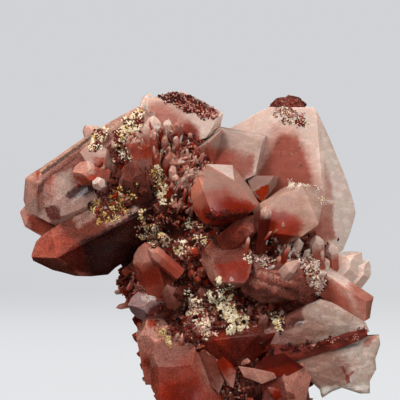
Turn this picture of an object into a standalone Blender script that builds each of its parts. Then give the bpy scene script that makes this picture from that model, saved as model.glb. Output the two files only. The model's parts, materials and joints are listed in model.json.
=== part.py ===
"""A hematoid quartz cluster, one solid: points of red-stained quartz and two broken quartz slabs,
grown together on a lump of matrix that is broken off flat below.

Metres, +Z up. The origin is at the middle of the flat break that the cluster rests on; +X is the
specimen's right and -Y its show side. The tables below are in millimetres.
"""

import math
import random
from collections import namedtuple

import bmesh
import bpy
from mathutils import Matrix, Vector, noise

NODE_NAME = "quartz_cluster"
MM = 0.001

BREAK_LEVEL = 0.0

# Quartz angles: a prism has six faces, and each end face leans 38.2 degrees off the long axis.
PRISM_FACES = 6
FACE_STEP = math.tau / PRISM_FACES
END_FACE_LEAN = math.radians(38.2)

# Small points: how deep they are set into the matrix.
DRUSE_ROOT = 3.5

# Lumps of matrix: a lump smaller than this takes a coarser surface, and the pitch of its bumps.
SMALL_LUMP = 12.0
COARSE_BUMPS = 2.3
FINE_BUMPS = 5.1
LUMP_SEED_STEP = Vector((11.3, 5.7, 3.1))

# Carved crystals: edges shorter than this are closed up after the cuts.
SHORT_EDGE = 0.03

# Slabs: the pitch of their waviness, and how much they thin towards their outer end.
SLAB_WAVES = 0.3
SLAB_SEED_STEP = Vector((7.7, 2.9, 13.1))
WAVER_STEPS = (Vector((0, 0, 0)), Vector((31.7, 0, 0)), Vector((0, 47.3, 0)))
TAPER_START = 20.0
TAPER_END = 37.0
TAPER = 0.45
SLAB_BEVEL = 0.6

USUAL_BITES = (0.0, -0.35, 0.05, -0.3, 0.0, -0.4)

Crystal = namedtuple("Crystal", "foot tip width depth turn apex bites chips")
Carved = namedtuple("Carved", "outline front back faces")
Lump = namedtuple("Lump", "centre radii roughness seed")
Druse = namedtuple("Druse", "centre outward spread size count seed")
Slab = namedtuple("Slab", "outline front back rim roughness seed")


def crystal(foot, tip, width, depth=None, turn=30.0, apex=(0.0, 0.0), bites=USUAL_BITES, chips=()):
    """One quartz point. foot and tip are the ends of its long axis. width and depth are half its
    thickness seen from the front and from the side. turn rolls it about its axis. apex shifts the
    point off the axis, bites say how far each end face is cut back in widths, and chips are flat
    breaks, each a point and an outward direction."""
    return Crystal(foot, tip, width, depth or width, turn, apex, bites, chips)


CRYSTALS = {
    # Blocks and slender points between the left arm and the middle.
    "block_left": crystal((-21.0, -8, 64), (-23.4, -12, 77.5), 3.5, 3.5, 15),
    "block_left_dark": crystal((-22, -6, 56), (-24.5, -12, 69.5), 3.6, 3.6, 40),
    "dark_middle": crystal((-11, -7, 50.5), (-19.5, -13, 58), 3.2, 3.2, 20),
    "side_left": crystal((-18.2, -6, 36.5), (-21.6, -12, 48.6), 3.9, 3.9, 20),
    "slender_left": crystal((-13, -13, 40.5), (-20.8, -15, 47.2), 1.6, 1.6, 20),
    "orange_chip": crystal((-8, -8, 44.5), (-12.5, -12, 45.5), 1.8, 1.6, 10),
    "slender_front": crystal((6.8, -14, 46), (8.5, -18, 57.6), 1.3, 1.3, 10),
    "step_on_long": crystal((-32, -6, 65), (-39.5, -12.5, 66), 2.6, 2.6, 30),
    "end_on": crystal((-32.2, -6, 62.5), (-33.3, -14.5, 63.2), 1.5, 1.5, 10),
    "standing_left": crystal((-33, 3, 68), (-36.0, 2, 79.3), 2.0, 2.0, 10,
                             chips=[((-35, 0, 77.6), (0.05, 0, 1))]),
    "standing_top": crystal((-23.4, 3, 78), (-20.6, 3, 85.8), 1.2, 1.2, 10),
    "glassy_top": crystal((-20.5, -5, 70), (-19.4, -9.5, 79.9), 1.8, 1.8, 10),
    "glassy_second": crystal((-16.2, -4, 72), (-16.1, -8.5, 78.9), 0.9, 0.9, 20),
    "glassy_third": crystal((-13.8, -4, 72), (-13.1, -8.5, 78.9), 1.1, 1.1, 0),
    "pink_middle": crystal((-15.0, -5, 60), (-15.4, -10, 71), 2.1, 1.8, 0),
    # Around the two slabs.
    "clear_right": crystal((21.5, -8, 42), (20.8, -11, 50.3), 1.6, 1.6, 20),
    "clear_far_right": crystal((25.0, -2, 40), (24.6, -6, 48.3), 1.7, 1.7, 0),
    "far_right": crystal((23.7, 0, 37.7), (32.5, -1, 46.0), 3.6, 3.6, 10),
    "far_right_end": crystal((27.3, 1, 35.0), (34.3, 0, 43.9), 2.4, 2.6, 20),
    # The lower front.
    "low_left_side": crystal((-17.4, -2, 14.5), (-20.5, -7, 31), 4.4, 4.6, 0),
    "low_block": crystal((-14, -4, 33), (-26, -9, 33), 3.6, 3.6, 20),
    "low_right": crystal((12, -3, 22), (16.5, -8, -8), 4.6, 5.0, 30),
    # The far side.
    "back_top": crystal((-18, 6, 66), (-27, 24, 77), 5.2, 5.2, 5),
    "back_up": crystal((-4, 6, 54), (-9, 28, 72), 6.0, 6.0, 25),
    "back_middle": crystal((4, 4, 45), (10, 32, 50), 7.0, 7.0, 15),
    "back_left": crystal((-12, 4, 50), (-35, 19, 51), 5.6, 5.6, 40),
    "back_low": crystal((-2, 2, 30), (-7, 28, 31), 6.4, 6.4, 0),
    "back_low_left": crystal((-6, 2, 28), (-25, 17, 29), 4.6, 4.6, 30),
    "back_right": crystal((8, 4, 34), (29, 17, 32), 5.2, 5.2, 20),
    "back_base": crystal((4, 2, 18), (9, 23, 15), 5.0, 5.0, 10),
    "back_base_left": crystal((-4, 2, 14), (-17, 16, 12), 4.0, 4.0, 10),
    "back_slender": crystal((-10, 8, 44), (-18, 24, 42), 2.6, 2.6, 10),
    "back_slender_up": crystal((2, 8, 58), (2, 24, 66), 2.4, 2.4, 10),
}

# Crystals whose flat faces all show: the convex outline across and up, the front and the back it
# lies between, and the flat faces that cut it, each through three points.
CARVED = {
    # The long crystal that reaches out to the upper left, and the point beneath it.
    "long_left": Carved(
        [(-51.6, 64.5), (-50.5, 65.4), (-48, 66.9), (-43, 70.4), (-37, 74.6), (-30.5, 78.6),
         (-23.5, 82.4), (-19.2, 81), (-18, 69), (-28, 59), (-39.2, 52), (-43.8, 52.5),
         (-50.5, 56), (-51.6, 57.5), (-52.1, 59)],
        -8.5, 12, [((-46.5, -8, 63.7), (-42.8, -8.5, 54.5), (-26.7, -5.5, 71.4)),
                   ((-46.5, -8, 63.7), (-30.4, -6, 74.4), (-39.2, 0, 73)),
                   ((-47.5, -8.2, 64), (-47.7, -8.5, 57), (-51.7, -2, 61.5)),
                   ((-48.1, 2, 66.9), (-30.6, 3, 78.7), (-35.8, 11, 71.6)),
                   ((-51.7, 1, 64), (-52, 1, 58.2), (-48.4, 11, 61.5)),
                   ((-42.3, -8.4, 55), (-32.9, -7, 58.5), (-37.9, -3, 52.5)),
                   ((-43.8, 2, 52.5), (-33.1, 3, 56), (-38.3, 11, 59))]),
    "long_left_under": Carved(
        [(-51.7, 57.6), (-48, 59), (-39.2, 59), (-36.7, 54), (-43.7, 51), (-47.6, 50),
         (-52.5, 52.8), (-53, 56.1)],
        -7, 8, [((-51.6, -5, 57.3), (-43.6, -6.5, 52.5), (-47.6, -3.5, 50.3)),
                ((-52.5, -1, 57), (-52.7, -1, 53.5), (-49, -6.5, 55.3)),
                ((-53, 0, 56), (-47.8, 0, 50), (-47, 7, 55.2))]),
    # The dark prism below it.
    "left_prism": Carved(
        [(-47.4, 50.1), (-48.8, 48.6), (-49.5, 46.6), (-49.9, 45.1), (-49.5, 43.8), (-48.8, 42.8),
         (-47.8, 42.2), (-42.8, 41.1), (-39.1, 40.1), (-35.1, 40), (-30.9, 40.4), (-29.1, 42.1),
         (-20.4, 47.6), (-16, 53.5), (-17.9, 60.2), (-22.9, 61.5), (-27.9, 60.5), (-39.1, 55.8),
         (-43.5, 52.8)],
        -17, 2, [((-43.3, -15, 44.7), (-22.1, -13, 55.8), (-30.4, -6, 59.7)),
                 ((-43.3, -15, 44.7), (-22.1, -13, 55.8), (-32.9, -5, 40.1)),
                 ((-43.3, -15, 44.7), (-49.5, -8, 45.6), (-44.8, -7.5, 52)),
                 ((-43.3, -15, 44.7), (-49.5, -8, 44.6), (-38.8, -7, 40.4)),
                 ((-42.9, -4, 52.8), (-28, -3, 60.5), (-33, 2, 52.7)),
                 ((-49.6, -5, 45.3), (-42.9, -3, 41), (-40.6, 2, 47.7))]),
    # The crystal at the top that points right, and the great one at the right.
    "top_right": Carved(
        [(-21, 84.1), (-18, 85.4), (-14.3, 86.2), (-12.5, 86.3), (-10, 85.3), (-7.2, 83.8),
         (-4.7, 82.3), (-2.5, 81.2), (-2.2, 80.6), (-2.9, 77.3), (-5.5, 74.8), (-8.5, 73.8),
         (-13, 73.3), (-19.3, 75.3), (-21.8, 80.3)],
        -4, 11.6, [((-17.2, -1.5, 83.7), (-3.5, -0.5, 79.7), (-10.5, 6, 85.6)),
                   ((-17.2, -1.5, 83.7), (-3.5, -0.5, 79.7), (-11.7, -4, 74)),
                   ((-3.5, -0.5, 79.7), (-6, -1.5, 74.5), (-2.5, 4, 78.6)),
                   ((-8, 8, 84.2), (-2.5, 6, 80.4), (-4.2, 10, 76.6))]),
    "great_right": Carved(
        [(-0.2, 77.3), (2.1, 78.4), (4.6, 79.8), (7.1, 81.2), (9.6, 82.3), (20.5, 82.2),
         (22, 79.9), (24.7, 74.1), (28.5, 65), (30.5, 59), (31.2, 55.7), (29.8, 50.9),
         (27.8, 46.4), (23.5, 43.4), (9.6, 43.4), (2.1, 50.2), (-1.7, 64)],
        -4.5, 22, [((9.5, 3, 82.1), (21.1, 2.5, 81), (22.7, -3.5, 49)),
                   ((21.1, 2.5, 81), (22.7, -1.64, 59), (30.5, 8, 59)),
                   ((22.7, -1.64, 59), (30.8, 8, 58), (27.1, 2, 47.7)),
                   ((4.5, 4, 79.8), (0, 7, 77.1), (-1, 3, 64)),
                   ((9.7, 15, 82.3), (20.6, 14, 82.3), (17.5, 22, 59)),
                   ((21.3, 14, 81.3), (30.6, 12, 55.7), (25, 20, 59)),
                   ((-0.2, 14, 77.2), (-0.9, 15, 59), (7.3, 22, 59))]),
    # The three in front of them, and the small one between.
    "grey_point": Carved(
        [(-8.5, 73.2), (-3, 77.4), (7.8, 75.5), (9.5, 74.8), (7.5, 69), (6.2, 65.5), (0.8, 62.8),
         (-6.8, 65.2)],
        -9, 9, [((-2, -3, 75.7), (8, -3, 74.2), (2.5, 2, 76.5)),
                ((-2, -3, 75.7), (-5.5, -8, 67.7), (-8.3, 1, 73)),
                ((-2, -3, 75.7), (8, -3, 74.2), (-0.6, -8.5, 65.2)),
                ((7.7, -3, 74.2), (5.9, -7, 65.5), (9, 3, 74.3))]),
    "front_point": Carved(
        [(-6.4, 67.9), (0, 67.7), (4.1, 62.5), (6.8, 58), (6.1, 57.5), (3.1, 54.5), (-2.6, 52.6),
         (-6.8, 53.1), (-9, 55.3), (-10.2, 57.8), (-10.2, 61.5), (-8.7, 65.2)],
        -23, -2, [((-6.4, -15, 67.9), (6.1, -15.5, 57.5), (-6.3, -20.5, 59)),
                  ((-6.4, -15, 67.9), (0.4, -14.3, 63.8), (0.1, -8, 67.7)),
                  ((0.4, -14.3, 63.8), (6.1, -15.5, 57.5), (0.1, -9, 67.7)),
                  ((-8.5, -17.7, 65.2), (-6.3, -20.5, 59), (-10.2, -13, 57.8)),
                  ((-7.3, -23.5, 54.6), (4.3, -17.3, 56), (-1.8, -14, 52.6))]),
    "cream_point": Carved(
        [(4.9, 57), (9.3, 59.7), (11.8, 61.6), (14.3, 62.8), (18, 63), (20.5, 62.6), (21.9, 62),
         (22.7, 61.2), (22.7, 59.7), (22.2, 57.3), (21.7, 54.5), (21, 52.8), (17.5, 50.3),
         (13, 47.6), (8.8, 48.1), (6.4, 50.3)],
        -20, -4.3, [((6.1, -12, 57.5), (21.2, -13, 61.5), (16.6, -17.5, 50.1)),
                    ((16.7, -12.7, 62.2), (21.1, -16.4, 53.6), (22.8, -9.5, 59)),
                    ((7.3, -12.2, 58.3), (18, -12.7, 62.2), (13.1, -8, 62.5)),
                    ((16.6, -17.5, 50.1), (7.3, -15, 51.1), (11.8, -10, 47.6))]),
    "low_front": Carved(
        [(-7, 46.6), (-7.8, 43.7), (-6.5, 41.2), (-5.5, 39), (-3.8, 37.2), (-1.1, 36.6),
         (1.9, 37.5), (3.9, 39.7), (4.9, 43.7), (4.4, 47.9), (1.9, 50.1), (-4.3, 50.1)],
        -20, -3.6, [((-6.5, -18, 45.2), (4.3, -17, 45.4), (-1.1, -19, 37.3)),
                    ((-6.5, -18, 45.2), (4.3, -17, 45.4), (-1.8, -10, 50.1)),
                    ((-5.3, -18, 45.2), (-3.8, -18.5, 37.8), (-7.8, -13, 43.7)),
                    ((-4.1, -18.6, 38.6), (1.8, -18.5, 38.6), (-1.1, -13, 36.2))]),
    "small_star": Carved(
        [(3.4, 65), (11.6, 65), (10.9, 62.5), (7.4, 58.3), (4.9, 61)],
        -13, 0.4, [((5.4, -11, 61.5), (9.3, -11, 63.5), (7.4, -10.5, 58.3)),
                   ((5.4, -11, 61.5), (9.3, -11, 63.5), (4.4, -7, 65)),
                   ((9.3, -11, 63.5), (7.9, -10.6, 59), (11.6, -7, 65))]),
    "flat_left": Carved(
        [(-37.9, 70.9), (-36.4, 72.4), (-33.6, 73.2), (-31.1, 71.7), (-29.4, 69), (-31.6, 66.7),
         (-35.4, 67.2)],
        -11, -2.4, [((-37.1, -7.5, 70.2), (-31.3, -8.5, 70.9), (-32.8, -9.5, 67.2)),
                    ((-31.3, -8.5, 70.9), (-31.8, -9.6, 67.2), (-29.4, -5, 69))]),
    # The prism over the slabs, and the dark wedge under them.
    "right_prism": Carved(
        [(17.6, 43.6), (21.4, 44.3), (29.3, 39), (35.3, 34.9), (34.8, 33.1), (34.3, 29.6),
         (32.8, 28.8), (30.6, 29.1), (26.8, 31.4), (22.8, 34.4), (17.6, 38.1)],
        -11, -1.4, [((22.3, -9.5, 41.4), (33.2, -9, 33.9), (28.1, -5, 39.8)),
                    ((22.3, -9.5, 41.4), (33.2, -9, 33.9), (28, -7, 30.7)),
                    ((33.2, -9, 33.9), (33.8, -6, 29.4), (35.6, -4.5, 34.1)),
                    ((21.9, -3, 43.5), (35.4, -3, 34.6), (29.5, -1, 35.3))]),
    "low_wedge": Carved(
        [(0.7, 18.7), (7.4, 21.2), (16.9, 21.2), (19.1, 18.7), (17.8, 14.8), (13.1, 13.3),
         (7.4, 14.5), (1.9, 16.3)],
        -13, -0.6, [((1.9, -11, 17.9), (16.7, -12.5, 17.7), (9.4, -8, 21.3)),
                    ((1.9, -11, 17.9), (16.7, -12.5, 17.7), (10.6, -8, 13.6)),
                    ((16.2, -12.4, 17.9), (17.3, -8, 14.8), (19.1, -7, 18.7))]),
    # The two at the lower front.
    "low_dark": Carved(
        [(-7.3, 22.3), (-5, 24.8), (4.4, 27.7), (10.6, 26.5), (12.1, 22.3), (7.4, 18.8),
         (1.9, 18.3), (-2.5, 18.8), (-5.8, 20.3)],
        -16, 0.3, [((-6.5, -13, 22.6), (8, -15, 23.7), (4.4, -10, 27.5)),
                   ((-6.5, -13, 22.6), (8, -15, 23.7), (1.9, -10, 18.6)),
                   ((7.3, -14.9, 23.4), (11.8, -11, 24.3), (9.8, -11, 19.9))]),
    "low_left": Carved(
        [(-20.4, 20.9), (-18.1, 23.1), (-14.2, 24.1), (-10.2, 23.4), (-6.5, 20.9), (-3.8, 15.4),
         (-2.1, 9), (-4.3, 5.5), (-16.7, 5.5), (-20.1, 13.2)],
        -20, 0.7, [((-18.3, -17.5, 17.9), (-10, -17.5, 18.4), (-14.2, -11, 24.1)),
                   ((-18.3, -17.5, 17.9), (-10, -17.5, 18.4), (-12.9, -19, 9.8)),
                   ((-10, -17.5, 18.4), (-6.5, -18.5, 10.3), (-3.3, -11, 13.4)),
                   ((-18.3, -17.5, 17.9), (-17.8, -18.7, 11), (-20.4, -12, 16.4))]),
}

LUMPS = [
    Lump((-14, 1, 63), (14, 12, 13), 2.2, 1),
    Lump((-26, -1, 60), (10, 9, 8.5), 1.6, 5),
    Lump((-25, 0, 70.5), (8, 8, 6.5), 1.2, 6),
    Lump((-2, 0, 46), (21, 13, 15), 2.4, 2),
    Lump((12, 1, 41), (14, 11, 13), 2.2, 7),
    Lump((-17, 1, 39), (11, 10, 9), 2.0, 8),
    Lump((-2, 0, 21), (18, 13, 24), 2.0, 3),
    Lump((7, 2, 8), (11, 11, 14), 1.6, 4),
    Lump((-4, 5, 4), (12, 10, 9), 1.4, 11),
    Lump((12, -4, 37.5), (8.5, 8, 5.5), 1.2, 10),
    Lump((14.4, 17, 82.4), (4.3, 4.0, 2.8), 1.0, 9),
]

# Patches of small points that cover the matrix between the large crystals.
DRUSES = [
    Druse((-13.5, -9.5, 59.5), (-0.1, -1.0, 0.7), 3.6, 0.8, 7, 41),
    Druse((-12.5, -8.5, 68.5), (0.1, -1.0, 1.0), 4.0, 0.8, 6, 42),
    Druse((-21, -9, 51), (-0.2, -1.0, 0.2), 3.4, 0.9, 4, 43),
    Druse((-9, -11, 40), (-0.3, -1.0, 0.2), 5.0, 1.2, 7, 44),
    Druse((-9, -12, 31), (-0.2, -1.0, 0.1), 5.0, 1.3, 6, 45),
    Druse((7, -13, 44), (0.2, -1.0, 0.5), 3.6, 1.0, 5, 46),
    Druse((17, -9, 42), (0.4, -1.0, 0.4), 4.0, 1.3, 6, 47),
    Druse((8, -11, 8), (0.2, -1.0, 0.0), 4.5, 1.4, 4, 48),
    Druse((-26, -2, 40), (-1.0, -0.3, 0.0), 3.0, 1.0, 4, 49),
    Druse((-26, -10, 64), (-0.2, -1.0, 0.6), 3.6, 0.9, 4, 50),
    Druse((0, 13, 42), (0.0, 1.0, 0.2), 7.0, 1.6, 7, 51),
    Druse((-14, 12, 58), (-0.3, 1.0, 0.2), 6.0, 1.5, 5, 52),
    Druse((8, 12, 27), (0.4, 1.0, 0.0), 6.0, 1.5, 6, 53),
    Druse((-10, 12, 20), (-0.4, 1.0, 0.0), 6.0, 1.5, 6, 54),
    Druse((-21, 3, 22), (-1.0, 0.4, 0.1), 4.5, 1.3, 4, 55),
    Druse((20, 4, 38), (1.0, 0.4, 0.0), 4.0, 1.3, 4, 56),
]

# The two broken slabs of quartz at the lower right and the red seam that joins them: outline
# corners across and up.
SLABS = [
    Slab([(6, 20), (7, 27), (16, 32), (22, 34.5), (26, 33), (33, 28.6), (34, 26.2), (30, 25.8),
          (20, 22.6), (10, 22.4)], -12.0, 0.0, 1.2, 0.5, 21),
    Slab([(12, 15), (14, 19), (22, 21.8), (30, 23.6), (33.5, 25.2), (36.4, 25.5), (36.6, 23),
          (35.4, 19.5), (35.8, 17), (34.2, 14), (34.4, 11), (31.5, 11.1), (27, 12.5),
          (24.8, 11.6), (22.4, 10.0), (21.8, 12), (19.5, 14.2), (15, 13.8)], -11.0, 0.5, 1.0, 0.5, 22),
    Slab([(7.5, 17), (9, 23.4), (20.7, 23.4), (29, 26.2), (33.4, 27), (33.6, 25.4), (28.2, 22.7),
          (22, 21), (14.5, 19)], -12.6, -1.0, 0.3, 0.2, 23),
]


def axis_frame(foot, tip):
    """The long axis, the direction across it and the direction out of the front."""
    along = (Vector(tip) - Vector(foot)).normalized()
    across = along.cross(Vector((0, 1, 0))).normalized()
    towards = along.cross(across).normalized()
    return along, across, towards


def cut(mesh, point, outward):
    """Cuts away what lies beyond a plane and closes the cut with one flat face."""
    everything = mesh.verts[:] + mesh.edges[:] + mesh.faces[:]
    bmesh.ops.bisect_plane(mesh, geom=everything, dist=1e-7, plane_co=point,
                           plane_no=outward, clear_outer=True)
    rim = [edge for edge in mesh.edges if edge.is_boundary]
    if rim:
        bmesh.ops.holes_fill(mesh, edges=rim, sides=0)


def crystal_mesh(shape):
    """A block cut by six prism faces, six end faces and its chips."""
    along, across, towards = axis_frame(shape.foot, shape.tip)
    foot = Vector(shape.foot)
    tip = Vector(shape.tip)
    reach = (tip - foot).length
    mesh = bmesh.new()
    block = 4.0 * (reach + shape.width + shape.depth)
    bmesh.ops.create_cube(mesh, size=block, matrix=Matrix.Translation(tip))
    cut(mesh, foot, -along)
    point = tip + across * shape.apex[0] + towards * shape.apex[1]
    for index in range(PRISM_FACES):
        angle = math.radians(shape.turn) + index * FACE_STEP
        sideways = across * math.cos(angle) + towards * math.sin(angle)
        distance = math.hypot(shape.width * math.cos(angle), shape.depth * math.sin(angle))
        cut(mesh, foot + sideways * distance, sideways)
        leaning = sideways * math.cos(END_FACE_LEAN) + along * math.sin(END_FACE_LEAN)
        cut(mesh, point - along * shape.bites[index] * shape.width, leaning)
    for place, outward in shape.chips:
        cut(mesh, Vector(place), Vector(outward).normalized())
    bmesh.ops.recalc_face_normals(mesh, faces=mesh.faces[:])
    return mesh


def druse_crystals(druse):
    """Small points that stand on a patch of matrix and lean away from its middle."""
    draw = random.Random(druse.seed)
    outward = Vector(druse.outward).normalized()
    sideways = outward.cross(Vector((0, 0, 1))).normalized()
    upwards = sideways.cross(outward)
    for _ in range(druse.count):
        bearing = draw.uniform(0, math.tau)
        distance = druse.spread * math.sqrt(draw.random())
        spread = sideways * math.cos(bearing) + upwards * math.sin(bearing)
        width = druse.size * draw.uniform(0.65, 1.25)
        lean = 0.5 * distance / druse.spread + draw.uniform(-0.3, 0.3)
        direction = (outward + spread * lean).normalized()
        root = Vector(druse.centre) + spread * distance - outward * DRUSE_ROOT
        length = DRUSE_ROOT + width * draw.uniform(1.5, 3.4)
        yield crystal(root, root + direction * length, width, turn=draw.uniform(0, 60))


def lump_mesh(shape):
    """A rough rounded lump of matrix."""
    mesh = bmesh.new()
    detail = 3 if max(shape.radii) > SMALL_LUMP else 2
    bmesh.ops.create_icosphere(mesh, subdivisions=detail, radius=1.0)
    shift = LUMP_SEED_STEP * shape.seed
    for vert in mesh.verts:
        bump = noise.noise(vert.co * COARSE_BUMPS + shift)
        bump += 0.5 * noise.noise(vert.co * FINE_BUMPS + shift)
        place = Vector(a * b for a, b in zip(vert.co, shape.radii))
        vert.co = Vector(shape.centre) + place + vert.co * bump * shape.roughness
    return mesh


def plate_mesh(outline, thickness):
    """A flat plate with the outline given, lying in the XY plane and centred on it."""
    curve = bpy.data.curves.new("plate", "CURVE")
    curve.dimensions = "2D"
    curve.fill_mode = "BOTH"
    curve.extrude = thickness / 2
    spline = curve.splines.new("POLY")
    spline.points.add(len(outline) - 1)
    for point, corner in zip(spline.points, outline):
        point.co = (*corner, 0.0, 1.0)
    spline.use_cyclic_u = True
    guide = bpy.data.objects.new("plate", curve)
    bpy.context.scene.collection.objects.link(guide)
    depsgraph = bpy.context.evaluated_depsgraph_get()
    flat = bpy.data.meshes.new_from_object(guide.evaluated_get(depsgraph))
    mesh = bmesh.new()
    mesh.from_mesh(flat)
    bpy.data.objects.remove(guide)
    bpy.data.curves.remove(curve)
    bpy.data.meshes.remove(flat)
    bmesh.ops.remove_doubles(mesh, verts=mesh.verts[:], dist=1e-4)
    bmesh.ops.dissolve_limit(mesh, angle_limit=0.02, verts=mesh.verts[:], edges=mesh.edges[:])
    return mesh


def waver(place):
    """A smooth shift that differs in each direction, the same at the same place."""
    return Vector(noise.noise(place + step) for step in WAVER_STEPS)


def slab_mesh(shape):
    """A broken slab that stands upright, with a chipped rim, thinner towards its outer end."""
    mesh = plate_mesh(shape.outline, shape.back - shape.front)
    sides = [face for face in mesh.faces if abs(face.normal.z) > 0.9]
    bmesh.ops.inset_region(mesh, faces=sides, thickness=shape.rim, depth=shape.rim * SLAB_BEVEL)
    upright = Matrix.Rotation(math.radians(90), 4, "X")
    mesh.transform(upright)
    bmesh.ops.triangulate(mesh, faces=mesh.faces[:])
    middle = (shape.back + shape.front) / 2
    shift = SLAB_SEED_STEP * shape.seed
    for vert in mesh.verts:
        outwards = (vert.co.x - TAPER_START) / (TAPER_END - TAPER_START)
        vert.co.y *= 1 - TAPER * min(1.0, max(0.0, outwards))
        vert.co.y += middle
        vert.co += waver(vert.co * SLAB_WAVES + shift) * shape.roughness
    bmesh.ops.recalc_face_normals(mesh, faces=mesh.faces[:])
    return mesh


def carved_mesh(shape):
    """A convex plate that stands upright, cut by its flat faces."""
    mesh = plate_mesh(shape.outline, shape.back - shape.front)
    mesh.transform(Matrix.Translation((0, (shape.front + shape.back) / 2, 0))
                   @ Matrix.Rotation(math.radians(90), 4, "X"))
    middle = sum((vert.co for vert in mesh.verts), Vector()) / len(mesh.verts)
    for corners in shape.faces:
        first, second, third = (Vector(corner) for corner in corners)
        outward = (second - first).cross(third - first).normalized()
        if outward.dot(first - middle) < 0:
            outward.negate()
        cut(mesh, first, outward)
    bmesh.ops.remove_doubles(mesh, verts=mesh.verts[:], dist=SHORT_EDGE)
    bmesh.ops.recalc_face_normals(mesh, faces=mesh.faces[:])
    return mesh


def mesh_object(name, mesh, collection):
    """Turns a bmesh in millimetres into an object in metres."""
    mesh.transform(Matrix.Scale(MM, 4))
    data = bpy.data.meshes.new(name)
    mesh.to_mesh(data)
    mesh.free()
    made = bpy.data.objects.new(name, data)
    collection.objects.link(made)
    return made


def unite(target, other):
    """Joins other into target by a Boolean union and removes it."""
    union = target.modifiers.new("union", "BOOLEAN")
    union.operation = "UNION"
    union.solver = "EXACT"
    union.object = other
    depsgraph = bpy.context.evaluated_depsgraph_get()
    united = bpy.data.meshes.new_from_object(target.evaluated_get(depsgraph))
    target.modifiers.remove(union)
    old = target.data
    target.data = united
    bpy.data.meshes.remove(old)
    bpy.data.objects.remove(other)


def quartz_material():
    """Milky quartz stained red by hematite."""
    material = bpy.data.materials.new("hematoid_quartz")
    material.use_nodes = True
    shader = material.node_tree.nodes["Principled BSDF"]
    shader.inputs["Base Color"].default_value = (0.46, 0.17, 0.13, 1.0)
    shader.inputs["Roughness"].default_value = 0.22
    shader.inputs["Metallic"].default_value = 0.0
    return material


def main():
    for item in list(bpy.data.objects):
        bpy.data.objects.remove(item)
    collection = bpy.data.collections.new(NODE_NAME)
    bpy.context.scene.collection.children.link(collection)
    cluster = mesh_object(NODE_NAME, lump_mesh(LUMPS[0]), collection)
    for index, shape in enumerate(LUMPS[1:]):
        unite(cluster, mesh_object(f"lump_{index}", lump_mesh(shape), collection))
    for index, shape in enumerate(SLABS):
        unite(cluster, mesh_object(f"slab_{index}", slab_mesh(shape), collection))
    for name, shape in CRYSTALS.items():
        unite(cluster, mesh_object(name, crystal_mesh(shape), collection))
    for name, shape in CARVED.items():
        unite(cluster, mesh_object(name, carved_mesh(shape), collection))
    for druse in DRUSES:
        for shape in druse_crystals(druse):
            unite(cluster, mesh_object("druse", crystal_mesh(shape), collection))
    mesh = bmesh.new()
    mesh.from_mesh(cluster.data)
    cut(mesh, Vector((0, 0, BREAK_LEVEL * MM)), Vector((0, 0, -1)))
    mesh.to_mesh(cluster.data)
    mesh.free()
    cluster.data.materials.clear()
    cluster.data.materials.append(quartz_material())


if __name__ == "__main__":
    main()
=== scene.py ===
"""Looks of the hematoid quartz cluster: stained quartz points, two milky slabs, matrix and crusts.

Tables are in millimetres in the row's frame: +Z up, -Y towards the show side.
"""

import json
import math
import random
from collections import namedtuple

import bmesh
import bpy
import numpy as np
from mathutils import Matrix, Vector, noise
from mathutils.bvhtree import BVHTree

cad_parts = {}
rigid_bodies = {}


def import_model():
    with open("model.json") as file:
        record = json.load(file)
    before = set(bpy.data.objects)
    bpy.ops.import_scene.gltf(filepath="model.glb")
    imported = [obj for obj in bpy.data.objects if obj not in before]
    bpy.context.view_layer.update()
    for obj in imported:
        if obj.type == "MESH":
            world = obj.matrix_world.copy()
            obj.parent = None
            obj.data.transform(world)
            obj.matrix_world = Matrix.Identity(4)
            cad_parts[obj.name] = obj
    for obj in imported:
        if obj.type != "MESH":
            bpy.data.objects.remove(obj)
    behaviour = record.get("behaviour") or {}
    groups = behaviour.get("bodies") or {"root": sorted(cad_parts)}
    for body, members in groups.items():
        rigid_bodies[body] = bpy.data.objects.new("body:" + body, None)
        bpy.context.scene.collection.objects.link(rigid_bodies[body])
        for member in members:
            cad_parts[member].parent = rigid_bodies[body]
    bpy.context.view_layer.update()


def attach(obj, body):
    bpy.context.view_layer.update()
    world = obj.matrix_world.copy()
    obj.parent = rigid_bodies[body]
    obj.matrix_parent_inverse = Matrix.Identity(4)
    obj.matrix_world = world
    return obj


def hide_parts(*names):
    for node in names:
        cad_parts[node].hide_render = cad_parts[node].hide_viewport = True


MM = 0.001
NODE = "quartz_cluster"

# The camera: it looks along +Y from 1.2 m away and takes in a square of 100 mm at the origin.
CAMERA_PLACE = Vector((-8.0, -1200.0, 59.0))
FIELD = 100.0
SENSOR = 36.0

# Quartz angles: a prism has six faces, and each end face leans 38.2 degrees off the long axis. How
# far each end face is cut back from the tip is a share of the width.
PRISM_FACES = 6
FACE_STEP = math.tau / PRISM_FACES
END_FACE_LEAN = math.radians(38.2)
END_FACE_BITES = (0.0, -0.35, 0.05, -0.3, 0.0, -0.4)
# A face counts as a prism's where it leans less than this against the long axis, as a sine.
PRISM_LEAN = 0.12
# How wide edges are rounded: by EDGE_WIDTH on carved crystals and shards, and on the other crystals
# by SMALL_EDGE and a share of their width, at most SMALL_EDGE_WIDEST.
EDGE_WIDTH = 0.15
SMALL_EDGE = 0.04
SMALL_EDGE_SHARE = 0.03
SMALL_EDGE_WIDEST = 0.14
# Carved crystals: edges shorter than this are closed up after the cuts.
SHORT_EDGE = 0.03

# Stains: a border wider than SHARP wavers in short waves, one wider than CRISP in long ones as well,
# and the others stay straight. A stain whose border is narrower than SKIN_SOFT lies within SKIN of
# the front, and the others go through.
CRISP = 0.3
SHARP = 0.13
SKIN_SOFT = 0.65
SKIN = 6.0
# Pitch and reach of the long and the short waves of a border.
LONG_WAVES = (0.22, 3.0)
SHORT_WAVES = (1.1, 1.6)
# How far the change between a crystal's two colours comes and goes.
FADE_UNEVEN = 5.0
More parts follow.
